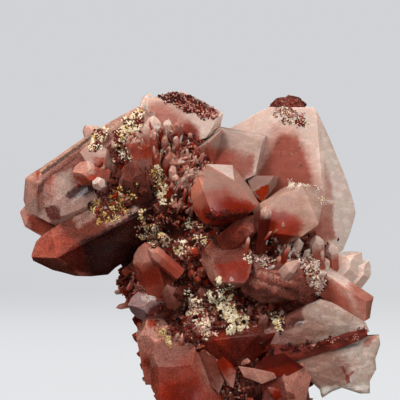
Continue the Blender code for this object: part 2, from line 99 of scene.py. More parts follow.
# How much the tint below lightens edges, as a painted highlight, and how much a milky veil brightens what it
# lies over.
EDGE_LIGHT = 0.14
EDGE_HIGHLIGHT_TINT = (2.0, 2.0, 2.0, 1.0)
VEIL = (1.7, 1.9, 2.0, 1.0)
# Farther inside a stain than any point is.
FAR_INSIDE = 1000.0

Crystal = namedtuple("Crystal", "foot tip width depth turn look chips", defaults=[()])
Carved = namedtuple("Carved", "outline front back faces foot tip look")
Lump = namedtuple("Lump", "centre radii roughness seed")
Slab = namedtuple("Slab", "outline front back rim roughness seed look")
Shard = namedtuple("Shard", "corners back look")
Druse = namedtuple("Druse", "centre outward spread size count seed look")
Shoot = namedtuple("Shoot", "x z top_x top_z width out look")
Sheaf = namedtuple("Sheaf", "start end width count length lean looks")
Stroke = namedtuple("Stroke", "start end width count grain kinds")
Patch = namedtuple("Patch", "corners depth colour strength soft")
Look = namedtuple("Look", "tip foot fade mottle clear gloss lines stains waves veils")
Lamp = namedtuple("Lamp", "name place size power glossy")


def srgb(red, green, blue):
    """A colour from 0 to 255 per channel, as the linear colour that shaders take."""
    def linear(value):
        value /= 255.0
        return value / 12.92 if value <= 0.04045 else ((value + 0.055) / 1.055) ** 2.4
    return (linear(red), linear(green), linear(blue), 1.0)


CREAM = srgb(222, 194, 180)
PALE_PINK = srgb(206, 166, 151)
TAN = srgb(192, 146, 126)
PEACH_PAINTED_LIGHT = srgb(236, 150, 122)
PINK = srgb(186, 130, 114)
DUSTY_PINK = srgb(176, 116, 100)
MILK = srgb(194, 170, 156)
SAND = srgb(168, 128, 112)
LILAC = srgb(158, 124, 120)
PLUM = srgb(136, 88, 78)
ROSE = srgb(168, 92, 76)
MAUVE = srgb(146, 100, 90)
GREY_MAUVE = srgb(160, 124, 112)
GREY = srgb(196, 166, 152)
CLAY = srgb(150, 86, 72)
BRICK = srgb(150, 68, 52)
ORANGE = srgb(166, 50, 18)
RED = srgb(128, 32, 14)
DARK_RED = srgb(84, 24, 17)
BROWN = srgb(112, 58, 46)
RUST = srgb(124, 50, 36)
DARK_BROWN = srgb(66, 29, 24)
BLACK_BROWN = srgb(38, 14, 12)
DUN = srgb(144, 104, 89)
WHITE = srgb(240, 224, 214)
WALL = srgb(211, 212, 216)
FLOOR = srgb(216, 218, 220)
FLOOR_GREY = srgb(110, 111, 113)


def true_place(x, z, depth):
    """Across and up, where a point at a depth is that shows at (x, z) at the depth of the origin."""
    reach = 1.0 - depth / CAMERA_PLACE.y
    return (CAMERA_PLACE.x + (x - CAMERA_PLACE.x) * reach, CAMERA_PLACE.z + (z - CAMERA_PLACE.z) * reach)


def patch(colour, depth, strength, soft, *corners):
    """A patch of colour with straight borders, at a depth: most are stains, a few are painted light and
    shade. Its outline is convex and has its corners where they show from the front, at the depth of the
    origin. soft is the width of its border."""
    return Patch([true_place(x, z, depth) for x, z in corners], depth, colour, strength, soft)


def look(tip, foot, fade, mottle=0.12, clear=0.0, gloss=0.2, lines=0.15, stains=(),
         waves=0.6, veils=0.25):
    """How one crystal is coloured: tip and foot are its colours, fade is how far from the tip the
    change begins and ends, mottle is how uneven the colour is, clear is how see-through it is,
    gloss its roughness, lines how strong its striations are, stains lie over that, each as patch
    takes it, a few of them painted light and shade, waves is how much its faces undulate and veils
    how milky it is in wisps."""
    stains = [patch(*row) for row in stains]
    return Look(tip, foot, fade, mottle, clear, gloss, lines, stains, waves, veils)


LOOKS = {
    "pale": look(CREAM, TAN, (7, 18)),
    "pink": look(PALE_PINK, ROSE, (3, 12)),
    "rose": look(PINK, RED, (0.5, 5), 0.2, 0.1, 0.1),
    "blush": look(PINK, BRICK, (0.5, 6), 0.2, 0, 0.12),
    "red": look(BRICK, DARK_RED, (0.3, 4), 0.3, 0, 0.12),
    "dark": look(BROWN, BLACK_BROWN, (-1, 3), 0.4, 0, 0.15),
    "brown": look(BROWN, DARK_BROWN, (4, 12), 0.5, 0, 0.3),
    "glass": look(CREAM, ROSE, (1, 5), 0.1, 0.05, 0.06),
    "frost": look(PALE_PINK, BRICK, (0.3, 3.5), 0.2, 0, 0.08),
    "ember": look(PINK, RED, (-0.8, 2.2), 0.2, 0, 0.08),
    "mauve": look(MAUVE, BROWN, (0.5, 4), 0.3, 0.1, 0.12),
    "granular": look(CLAY, RUST, (1, 6), 0.7, 0, 0.4),
    "long_left": look(TAN, GREY_MAUVE, (3, 9), 0.32, 0, 0.24, 0.5, [
        (MAUVE, -5, 1, 0.5, (-47.5, 65.5), (-32.5, 76.8), (-30, 74), (-45, 62)),
        (BROWN, -5, 0.6, 0.6, (-47.5, 64), (-41.5, 68.8), (-30.5, 76.2), (-29.5, 74), (-45.5, 63)),
        (TAN, -5, 0.9, 0.3, (-52, 65), (-23, 83.8), (-22.5, 82), (-51, 63.2)),
        (BLACK_BROWN, -6, 0.8, 0.2, (-47.8, 66.2), (-38.8, 72.6), (-38.5, 71.6), (-47.5, 65.2)),
        (BLACK_BROWN, -6, 0.8, 0.2, (-38.8, 72.6), (-33.2, 77.1), (-32.9, 76.1), (-38.5, 71.6)),
        (DARK_BROWN, -6, 0.7, 0.2, (-48, 63.2), (-39, 69.9), (-38.8, 69.4), (-47.8, 62.8)),
        (PINK, -7, 0.8, 0.4, (-51.8, 64.5), (-47.8, 66), (-48.5, 60), (-51.5, 58.2)),
        (ORANGE, -7, 0.8, 0.2, (-49, 66.5), (-48.2, 66.5), (-48.4, 64), (-49.1, 64)),
        (DARK_RED, -8, 0.8, 0.4, (-49, 62.5), (-46.5, 64.5), (-47, 61.5), (-49, 59.8)),
        (GREY, -8, 0.7, 0.6, (-44.5, 65), (-40.5, 67), (-40, 61.5), (-43.5, 59), (-45.5, 60)),
        (ROSE, -8, 0.5, 0.6, (-46.5, 63.5), (-44, 65.5), (-44, 60), (-46.5, 58)),
        (GREY_MAUVE, -8, 0.9, 0.3, (-44, 58.8), (-34.5, 60.8), (-33.8, 60), (-39, 56), (-43, 53.8)),
        (DARK_BROWN, -8, 0.95, 0.3, (-41.8, 60.2), (-38.5, 63), (-33.8, 63), (-33.8, 61.5), (-37, 60.2),
            (-40.5, 59.2)),
        (RED, -8, 0.8, 0.4, (-39.5, 63.8), (-37.5, 65), (-33.2, 64), (-34.5, 62.2), (-38.5, 62.5)),
        (DARK_RED, -8, 0.9, 0.3, (-47, 57), (-45, 57.8), (-42.8, 56.8), (-43, 54.2), (-45.5, 54)),
        (BROWN, -8, 0.7, 0.5, (-49, 60.5), (-47.5, 61.5), (-46.5, 59), (-47.5, 55.5), (-49, 56.8))]),
    "left_under": look(PINK, BROWN, (6, 14), 0.28, 0, 0.2, 0.4, [
        (BRICK, -6, 0.95, 0.6, (-51.5, 55.5), (-43, 53.5), (-44.2, 51), (-48, 50), (-50.5, 51.5)),
        (DARK_BROWN, -6, 0.95, 0.3, (-48.5, 56), (-43, 53), (-44, 51.8), (-48.5, 54.8))]),
    "left_prism": look(ROSE, BLACK_BROWN, (9, 15), 0.42, 0, 0.2, 0.5, [
        (BROWN, -12, 0.9, 0.6, (-41.5, 55.5), (-28.5, 61), (-26, 55.5), (-26.5, 54), (-39, 48.2),
            (-42.5, 51)),
        # The two grey-mauve streaks on the upper face are partly its own colour and partly painted sheen
        # from the light above.
        (GREY_MAUVE, -12, 0.7, 0.7, (-39.5, 55), (-33, 58), (-32, 56), (-38.5, 52)),
        (GREY_MAUVE, -14, 0.8, 0.5, (-32, 53.5), (-24, 57.8), (-23, 56.5), (-31, 52)),
        (BLACK_BROWN, -14, 0.6, 0.3, (-38.8, 48), (-26, 54.2), (-20.5, 55.5), (-21, 47), (-30.5, 40),
            (-39, 41.5)),
        (DARK_RED, -14, 0.9, 0.5, (-43.8, 44.8), (-39, 47.8), (-37, 47), (-37, 41), (-40.5, 41.2)),
        (BRICK, -13, 0.8, 0.8, (-48, 49), (-42.5, 51), (-39, 48.2), (-44, 44.8), (-49.5, 44.8)),
        (BROWN, -10, 0.6, 0.5, (-49.8, 44.5), (-44, 44.5), (-39, 40.2), (-48, 42.2))]),
    "top_right": look(CREAM, CREAM, (9, 19), 0.08, 0.2, 0.16, 0.1, [
        (PALE_PINK, -2, 0.8, 2, (-20.5, 84.5), (-14, 84.5), (-9, 80), (-11, 76.5), (-20.5, 77)),
        (ROSE, -2, 0.75, 1.6, (-20.5, 82.5), (-16.8, 83), (-12.5, 80), (-11.5, 77), (-20.5, 76.5)),
        (BRICK, -3, 1, 1.1, (-14, 77.5), (-11, 79), (-9, 77), (-8, 73.8), (-13.5, 72.5)),
        (RED, -3, 0.6, 0.9, (-12, 77), (-10, 77), (-9.5, 74.8), (-12, 74.5)),
        (DARK_RED, -1, 0.85, 0.3, (-17.2, 85.5), (-12.2, 86), (-7.2, 83.8), (-3.2, 81), (-4, 79.5),
            (-6.5, 79.8), (-13, 82))]),
    "great_right": look(CREAM, CREAM, (14, 30), 0.07, 0.15, 0.12, 0.08, [
        (PALE_PINK, 0, 0.4, 2, (-1, 76.5), (8.5, 78), (11, 74), (7.5, 64), (-0.5, 64)),
        (PINK, -1, 0.7, 1.6, (10, 78), (16.5, 77.5), (22.5, 63), (23, 57), (3.5, 55), (7, 69)),
        (BRICK, -1, 0.85, 1, (11.8, 75.8), (16.5, 75), (20, 65), (21.5, 57.5), (4.5, 55), (6.5, 66)),
        # The white patch lightens the right side: partly the milky quartz, partly painted light that shines
        # through it.
        (WHITE, 4, 0.35, 0.8, (23, 75.5), (27, 70), (32, 55.5), (28.2, 43.5), (24.5, 49), (23, 66.5)),
        (PINK, 2, 0.8, 0.8, (22.8, 69), (23.5, 67.5), (25.5, 59), (22.9, 59)),
        (PINK, 2, 0.95, 0.6, (22.5, 58.8), (25.2, 58.5), (26, 49.5), (21.5, 47.5), (17, 49)),
        (ROSE, 2, 0.6, 1.2, (19.5, 52.5), (23.5, 54.5), (25.5, 50), (21.5, 48.5), (17, 49.5)),
        # The two thin white lines are painted highlights along edges of the front.
        (WHITE, 2, 0.5, 0.1, (23, 59.1), (28.2, 58.5), (28.2, 58.3), (23, 58.9)),
        (WHITE, 0, 0.4, 0.15, (22.6, 76.5), (23, 76.5), (23, 59), (22.7, 59))]),
    "grey_point": look(GREY, GREY, (6, 12), 0.12, 0.3, 0.12, 0.1, [
        # The grey-mauve top is partly its own colour and partly painted sheen from the light above.
        (GREY_MAUVE, -7, 0.8, 0.5, (-10, 71.5), (-3, 77.5), (0, 71.5), (-6.5, 70)),
        (BRICK, -7, 0.85, 1.5, (-9, 71.2), (-5.5, 72.4), (-1, 71.2), (4.5, 67.2), (4.5, 64.5),
            (-8.5, 64.5)),
        (RED, -7, 0.35, 1.2, (-8, 71), (-5, 71.4), (-1.5, 69.5), (-3, 67.5), (-7.5, 68)),
        (BRICK, -7, 0.65, 1.3, (-6, 72), (1, 71.6), (5.4, 70.2), (5, 65), (-6, 65)),
        (PINK, -7, 0.4, 0.8, (-1, 69), (2, 69.5), (4.5, 66.2), (3.8, 65), (0.5, 66.5)),
        (BRICK, -7, 0.4, 0.4, (3, 69.5), (5.5, 70.8), (6, 69), (5, 66)),
        (GREY, -3, 0.9, 0.3, (5.5, 64.5), (5.5, 69.5), (8, 73.5), (9.5, 75), (9, 71.5), (6.8, 65)),
        # The thin white line along the top edge is a painted highlight.
        (WHITE, -3, 0.15, 0.3, (-2.5, 77), (8, 75.5), (8.5, 74.9), (-2, 76))]),
    "front_point": look(PINK, ROSE, (8, 16), 0.1, 0.1, 0.14, 0.1, [
        (GREY_MAUVE, -19, 0.8, 0.9, (-6.5, 67.8), (1, 63.5), (4.5, 58), (-9, 59)),
        # The peach patch is lighter than the facet's own colour: painted light on a left facet that the
        # lamps light little.
        (PEACH_PAINTED_LIGHT, -18, 0.9, 0.7, (-11, 62), (-8.5, 66), (-6.5, 57.5), (-7.5, 56.5), (-10.5, 57.5)),
        (BRICK, -19, 0.7, 1.3, (-10.5, 59), (-6, 61.2), (-1.5, 62), (5, 58.2), (3.5, 53.5), (-7, 52)),
        (RED, -19, 0.95, 1.4, (-9, 56), (-5, 58.5), (-0.5, 59.8), (4.5, 58), (4, 53), (-6.5, 51.5)),
        (RED, -17, 0.95, 0.8, (-7, 56.5), (-4, 57.5), (6, 58), (5, 52.5), (-6.5, 51.5)),
        (DARK_RED, -18, 0.4, 1.2, (-3.5, 55), (0.5, 56.5), (5, 56.5), (4, 52.5), (-4, 51.5)),
        (ORANGE, -18, 0.6, 0.8, (-10.5, 58), (-8, 57), (-5.5, 53), (-8.5, 54)),
        # The white triangle is a painted highlight: the facet's reflection of the light from above.
        (WHITE, -14, 0.6, 0.12, (-6.4, 68.1), (0.2, 67.8), (0.6, 63.9)),
        (GREY_MAUVE, -14, 0.8, 0.25, (0.4, 67.8), (4.5, 62.5), (6.5, 57.8), (5.5, 57.8), (0.6, 64))], 0.6,
            0.1),
    "cream_point": look(SAND, TAN, (8, 16), 0.12, 0.15, 0.14, 0.1, [
        (TAN, -14, 0.3, 1.4, (12, 61.5), (21, 63), (23, 60.5), (17, 56.5), (12, 57)),
        (GREY, -14, 0.5, 1.2, (18.5, 61.5), (23, 61.5), (22.5, 55.5), (20, 53.5), (18, 56.5)),
        (BRICK, -16, 0.95, 0.9, (5.5, 56.2), (10, 57), (16, 55.8), (18, 53), (16, 50), (12.5, 47), (6, 48)),
        (RED, -16, 0.9, 1, (7.5, 55.5), (14, 55.2), (17, 52.5), (14, 48), (7, 48)),
        (ORANGE, -16, 0.5, 1.2, (10, 55), (15, 55), (16, 52), (13, 50), (9, 51))]),
    "low_front": look(CLAY, ROSE, (7, 13), 0.3, 0.05, 0.26, 0.1, [
        (BROWN, -15, 0.9, 0.5, (-7.2, 46.5), (-4, 50), (2, 50), (5, 47.5), (4, 44.5), (-2.5, 43.2),
            (-6.5, 43.5)),
        (MAUVE, -16, 0.4, 0.8, (-6.5, 46.5), (-2.5, 48), (-0.5, 46.5), (-5, 44)),
        (ORANGE, -19, 0.95, 0.4, (-4.2, 43.2), (4.2, 44), (3.8, 40.2), (2, 38.5), (-1.5, 38.5)),
        (RED, -19, 0.7, 0.5, (-4.2, 43.5), (4.5, 44.2), (3.8, 39.8), (2, 38.2), (-2, 38.2)),
        (PINK, -17, 0.6, 0.5, (-7.5, 44.5), (-5, 44.5), (-3.5, 38.5), (-6, 39.5))], 0.6, 0.1),
    "star": look(GREY_MAUVE, GREY_MAUVE, (1, 4), 0.1, 0.3, 0.1, 0.1, [
        (ORANGE, -11, 1, 0.2, (5.5, 61.2), (8.9, 62.9), (9.5, 62.6), (9.2, 60.8), (7.5, 58.5))]),
    "flat": look(PALE_PINK, PINK, (3, 6), 0.1, 0.3, 0.12, 0.1, [
        (ORANGE, -8, 0.7, 0.5, (-35, 69.5), (-32, 69.5), (-31.2, 67.5), (-33.5, 67.5))]),
    "wedge": look(DARK_RED, DARK_RED, (3, 8), 0.2, 0.1, 0.15, 0.1, [
        (RED, -12, 0.7, 0.5, (7.5, 16.5), (14.5, 18), (18, 16), (13.2, 13.8))]),
    "block": look(PALE_PINK, BRICK, (2.5, 4.5), 0.3, 0, 0.16, 0.3, [
        # The grey-mauve top is partly the block's own colour and partly painted sheen from the light above.
        (GREY_MAUVE, -12, 0.4, 0.3, (-26, 76.2), (-21, 76.5), (-21, 73.2), (-26.5, 73)),
        (BRICK, -12, 0.9, 0.4, (-27, 73), (-20.5, 73.2), (-20, 69.5), (-27.5, 69.5)),
        (ORANGE, -12, 0.5, 0.6, (-23, 73.2), (-20, 73.5), (-20, 70), (-22.5, 69.8)),
        # The mauve patch is partly the block's own colour and partly painted light against the shade it lies
        # in.
        (MAUVE, -11, 0.8, 0.5, (-28.5, 69.2), (-19.5, 69.5), (-19, 59), (-29, 59))]),
    "side_left": look(CLAY, BRICK, (1, 7), 0.2, 0, 0.2, 0.2, [
        (PINK, -12, 0.6, 0.5, (-24.8, 46.5), (-21.5, 47.8), (-19, 46.5), (-20.5, 43.5), (-24.5, 43)),
        (RED, -11, 0.75, 0.8, (-23, 41), (-19, 43.5), (-17.5, 38), (-24, 37.2))]),
    "orange_chip": look(PINK, ORANGE, (1, 2), 0.1, 0, 0.1),
    "slender_front": look(PALE_PINK, DARK_RED, (1.5, 4), 0.25, 0.1, 0.1, 0.2),
    "step": look(PINK, ROSE, (2, 6), 0.2, 0, 0.2, 0.2, [
        (PALE_PINK, -12, 0.9, 0.2, (-36.5, 68.8), (-34.8, 68.2), (-34.2, 65.5), (-36, 65.5)),
        (ORANGE, -11, 0.8, 0.5, (-39.5, 64.5), (-34, 65.5), (-33.5, 63), (-38, 63))]),
    "white": look(CREAM, PALE_PINK, (2, 6), 0.2, 0.2, 0.1),
    "right_prism": look(PINK, PINK, (4, 16), 0.15, 0.05, 0.12, 0.15, [
        (CREAM, -8, 0.9, 0.5, (17.8, 43.5), (22, 44.2), (30, 39), (28.2, 37.5), (21.5, 40.5)),
        (ORANGE, -9, 0.55, 1, (21.5, 41), (24.5, 39), (29, 33.5), (30.5, 29.5), (26.5, 31), (22, 34.5)),
        (RED, -9, 0.5, 1, (22.5, 39), (26, 35), (28.5, 31), (23.5, 33.5)),
        (PALE_PINK, -9, 0.6, 0.5, (27.5, 38), (29.5, 37.5), (32, 32.5), (30.5, 32)),
        (ROSE, -8, 0.55, 0.8, (29.5, 38.5), (35.5, 34.8), (34.5, 29.5), (32, 31))]),
    "low_left": look(PLUM, BRICK, (3, 7), 0.35, 0, 0.2, 0.2, [
        (RUST, -18, 0.8, 0.4, (-20.5, 17), (-10, 17.5), (-7, 13), (-20, 12.5)),
        (RED, -18, 0.95, 1, (-17.5, 13.5), (-8.5, 14.5), (-6.5, 8), (-18, 8)),
        (DARK_RED, -18, 0.35, 1.4, (-15, 13), (-10, 13.5), (-8.5, 8), (-15.5, 8)),
        (CLAY, -15, 0.8, 0.3, (-10, 22.8), (-6.5, 20.5), (-3.8, 15), (-2.5, 10), (-6.5, 11), (-9.8, 17.5)),
        (GREY_MAUVE, -15, 0.6, 0.2, (-8.8, 21.5), (-7.5, 20.5), (-5, 13), (-6.2, 13))], 0.6, 0.1),
    "stem": look(PINK, ROSE, (3, 12), 0.3, 0, 0.25, 0.2, [
        (ORANGE, -8, 0.8, 0.4, (-21, 29.5), (-18, 29), (-18.5, 27), (-20.5, 27)),
        (RED, -6, 0.8, 0.5, (-22.2, 19.5), (-18.5, 19.5), (-18.8, 16.8), (-21.8, 17)),
        (BROWN, -8, 0.6, 0.4, (-24.5, 28.5), (-21.5, 28), (-21.5, 26.5), (-24, 26.5))]),
    "low_block": look(LILAC, BROWN, (6, 12), 0.2, 0.1, 0.12, 0.2, [
        (WHITE, -10, 0.5, 0.4, (-22.5, 35.8), (-19, 35.5), (-19.2, 33.8), (-22.5, 33.8)),
        (RED, -10, 0.8, 0.4, (-20, 37), (-16, 36), (-15.5, 33.5), (-19, 34)),
        (DARK_RED, -10, 0.9, 0.6, (-20.5, 32), (-15, 34), (-15, 29.5), (-21.5, 29.5))]),
    "low_dark": look(DARK_RED, DARK_RED, (3, 8), 0.25, 0, 0.12, 0.1, [
        (RED, -15, 0.6, 0.9, (-7.2, 22.5), (-2.5, 26), (4.5, 26), (2, 21), (-4.5, 20)),
        # The black-brown patch is partly the crystal's own colour and partly painted shadow over the dark
        # lower front.
        (BLACK_BROWN, -14, 0.8, 0.9, (0, 21.5), (3.5, 24.5), (9, 24.5), (8.5, 18), (-2, 18))]),
    # Dark red that deepens to black-brown: partly the mass's own colour and partly painted shadow.
    "dark_mass_and_shadow": look(DARK_RED, BLACK_BROWN, (0, 5), 0.45, 0, 0.2, 0.1, [
        (RED, -16, 0.3, 1, (-7, 22.5), (-4.5, 25.5), (0, 26), (-1, 21), (-5, 19)),
        (ORANGE, -16, 0.25, 0.8, (-4.5, 25), (-1.5, 25.5), (-1.5, 23), (-4, 21.5)),
        (BROWN, -16, 0.5, 0.8, (0, 27), (8, 27.5), (7.5, 24.5), (1, 24))]),
    "striated": look(CLAY, RUST, (-1, 3), 0.7, 0, 0.45, 0.2, [
        (BROWN, -15, 0.8, 1, (1, 36.5), (22.5, 37.5), (22.5, 32.5), (2, 32)),
        (DARK_BROWN, -16, 0.6, 0.3, (3, 41), (17, 36.2), (17, 35.4), (3, 40.2)),
        (DARK_BROWN, -16, 0.5, 0.3, (4.5, 43), (19, 38.4), (19, 37.8), (4.5, 42.4)),
        (DARK_BROWN, -16, 0.7, 0.4, (3, 38), (15, 34.2), (15, 32.8), (3, 36.6)),
        (TAN, -16, 0.5, 0.3, (6, 41.8), (15, 38.8), (15, 38), (6, 40.8)),
        (TAN, -16, 0.4, 0.3, (5, 39.2), (13, 36.6), (13, 36.1), (5, 38.6)),
        (MAUVE, -17, 0.5, 0.6, (8.5, 43.5), (17, 43), (16.5, 40.5), (8.5, 41.5))]),
    "chip": look(PINK, ROSE, (2, 8), 0.15, 0, 0.12, 0.1, [
        (ORANGE, -14, 0.9, 0.3, (-11, 47.5), (-8, 47.5), (-8, 43.5), (-12, 43.5)),
        (RED, -14, 0.5, 0.4, (-10.5, 45.5), (-8, 46), (-8.5, 43.5), (-11.5, 43.5))]),
    "low_right": look(DUSTY_PINK, ROSE, (8, 30), 0.25, 0, 0.2, 0.2, [
        (DARK_RED, -14, 0.9, 0.6, (7, 15.2), (12, 15.2), (14, 11.5), (13.2, 8), (7, 8)),
        (RED, -15, 0.4, 0.5, (8.5, 13.5), (11.5, 13.5), (12, 10.5), (8.5, 10.5))], 0.6, 0.1),
    "slab": look(MILK, MILK, (0, 10), 0.16, 0.15, 0.16, 0, [
        (DUN, -11, 0.4, 1.6, (16, 32), (22, 35), (33, 29), (32, 26.5), (24, 23.5), (16, 22.5)),
        (DUN, -11, 0.9, 1.6, (7.5, 34), (20, 30), (24.5, 26.5), (19.5, 22.5), (7.5, 22.5)),
        (DUN, -11, 0.7, 1.6, (7.5, 29.5), (17, 27.5), (21, 24.5), (17, 22.5), (7.5, 22.5)),
        (DUN, -10, 0.9, 1.6, (12.5, 21), (24.5, 22.5), (30, 18.5), (28.5, 13), (21.5, 12.5), (14.5, 15.5)),
        (DUN, -10, 0.6, 1.6, (17, 21), (24.5, 21.5), (28, 17.5), (26, 13), (18, 14)),
        (BROWN, -11, 0.9, 0.7, (6.5, 32.5), (13.5, 35), (18, 33.5), (17, 28), (13, 26), (6.5, 27)),
        (DARK_BROWN, -12, 0.8, 0.3, (13, 33.2), (17, 33), (16.5, 31.8), (13, 32)),
        (DARK_BROWN, -12, 0.7, 0.3, (14.5, 29.5), (18, 29.5), (17.5, 27.8), (14, 27.5)),
        (MAUVE, -11, 0.7, 0.8, (6.5, 27), (17, 26.5), (20, 23.5), (7, 22.2)),
        (RED, -8, 0.8, 0.2, (26.9, 17.8), (27.5, 17.8), (29.1, 14.8), (28.5, 14.5)),
        (RED, -8, 0.8, 0.2, (28.2, 15), (29.1, 15), (29.5, 13.2), (28.8, 13.2)),
        (RED, -8, 0.7, 0.2, (28.2, 15.2), (30.2, 16.4), (30.5, 15.8), (28.8, 14.5)),
        (ORANGE, -8, 0.6, 0.4, (32.8, 23.2), (35.2, 25.8), (36.2, 24.8), (34.2, 22.5)),
        (DARK_BROWN, -10, 0.4, 0.6, (13, 18), (16, 19), (17, 17), (14.5, 15.5)),
        (WHITE, -10, 0.4, 0.8, (21.5, 12), (35, 13), (35.5, 9.5), (21.5, 9.5))], 3, 0.5),
    "seam": look(RUST, DARK_RED, (-4, 6), 0.6, 0, 0.4, 0.15, (), 2),
}

# Quartz points, as the solid has them: the ends of the long axis, half the thickness seen from the
# front and from the side, the roll about that axis in degrees, the look, and flat breaks, each by a
# point and a direction.
CRYSTALS = {
    # Blocks and slender points between the left arm and the middle.
    "block_left": Crystal((-21, -8, 64), (-23.4, -12, 77.5), 3.5, 3.5, 15, "block"),
    "block_left_dark": Crystal((-22, -6, 56), (-24.5, -12, 69.5), 3.6, 3.6, 40, "brown"),
    "dark_middle": Crystal((-11, -7, 50.5), (-19.5, -13, 58), 3.2, 3.2, 20, "dark"),
    "side_left": Crystal((-18.2, -6, 36.5), (-21.6, -12, 48.6), 3.9, 3.9, 20, "side_left"),
    "slender_left": Crystal((-13, -13, 40.5), (-20.8, -15, 47.2), 1.6, 1.6, 20, "blush"),
    "orange_chip": Crystal((-8, -8, 44.5), (-12.5, -12, 45.5), 1.8, 1.6, 10, "orange_chip"),
    "slender_front": Crystal((6.8, -14, 46), (8.5, -18, 57.6), 1.3, 1.3, 10, "slender_front"),
    "step_on_long": Crystal((-32, -6, 65), (-39.5, -12.5, 66), 2.6, 2.6, 30, "step"),
    "end_on": Crystal((-32.2, -6, 62.5), (-33.3, -14.5, 63.2), 1.5, 1.5, 10, "white"),
    "standing_left": Crystal((-33, 3, 68), (-36, 2, 79.3), 2, 2, 10, "pink",
        [((-35, 0, 77.6), (0.05, 0, 1))]),
    "standing_top": Crystal((-23.4, 3, 78), (-20.6, 3, 85.8), 1.2, 1.2, 10, "pale"),
    "glassy_top": Crystal((-20.5, -5, 70), (-19.4, -9.5, 79.9), 1.8, 1.8, 10, "glass"),
    "glassy_second": Crystal((-16.2, -4, 72), (-16.1, -8.5, 78.9), 0.9, 0.9, 20, "glass"),
    "glassy_third": Crystal((-13.8, -4, 72), (-13.1, -8.5, 78.9), 1.1, 1.1, 0, "rose"),
    "pink_middle": Crystal((-15, -5, 60), (-15.4, -10, 71), 2.1, 1.8, 0, "rose"),
    # Around the two slabs.
    "clear_right": Crystal((21.5, -8, 42), (20.8, -11, 50.3), 1.6, 1.6, 20, "glass"),
    "clear_far_right": Crystal((25, -2, 40), (24.6, -6, 48.3), 1.7, 1.7, 0, "glass"),
    "far_right": Crystal((23.7, 0, 37.7), (32.5, -1, 46), 3.6, 3.6, 10, "pale"),
    "far_right_end": Crystal((27.3, 1, 35), (34.3, 0, 43.9), 2.4, 2.6, 20, "pale"),
    # The lower front.
    "low_left_side": Crystal((-17.4, -2, 14.5), (-20.5, -7, 31), 4.4, 4.6, 0, "stem"),
    "low_block": Crystal((-14, -4, 33), (-26, -9, 33), 3.6, 3.6, 20, "low_block"),
    "low_right": Crystal((12, -3, 22), (16.5, -8, -8), 4.6, 5, 30, "low_right"),
    # The far side.
    "back_top": Crystal((-18, 6, 66), (-27, 24, 77), 5.2, 5.2, 5, "pale"),
    "back_up": Crystal((-4, 6, 54), (-9, 28, 72), 6, 6, 25, "pink"),
    "back_middle": Crystal((4, 4, 45), (10, 32, 50), 7, 7, 15, "pink"),
    "back_left": Crystal((-12, 4, 50), (-35, 19, 51), 5.6, 5.6, 40, "rose"),
    "back_low": Crystal((-2, 2, 30), (-7, 28, 31), 6.4, 6.4, 0, "rose"),
    "back_low_left": Crystal((-6, 2, 28), (-25, 17, 29), 4.6, 4.6, 30, "red"),
    "back_right": Crystal((8, 4, 34), (29, 17, 32), 5.2, 5.2, 20, "pink"),
    "back_base": Crystal((4, 2, 18), (9, 23, 15), 5, 5, 10, "rose"),
    "back_base_left": Crystal((-4, 2, 14), (-17, 16, 12), 4, 4, 10, "red"),
    "back_slender": Crystal((-10, 8, 44), (-18, 24, 42), 2.6, 2.6, 10, "pink"),
    "back_slender_up": Crystal((2, 8, 58), (2, 24, 66), 2.4, 2.4, 10, "pale"),
}

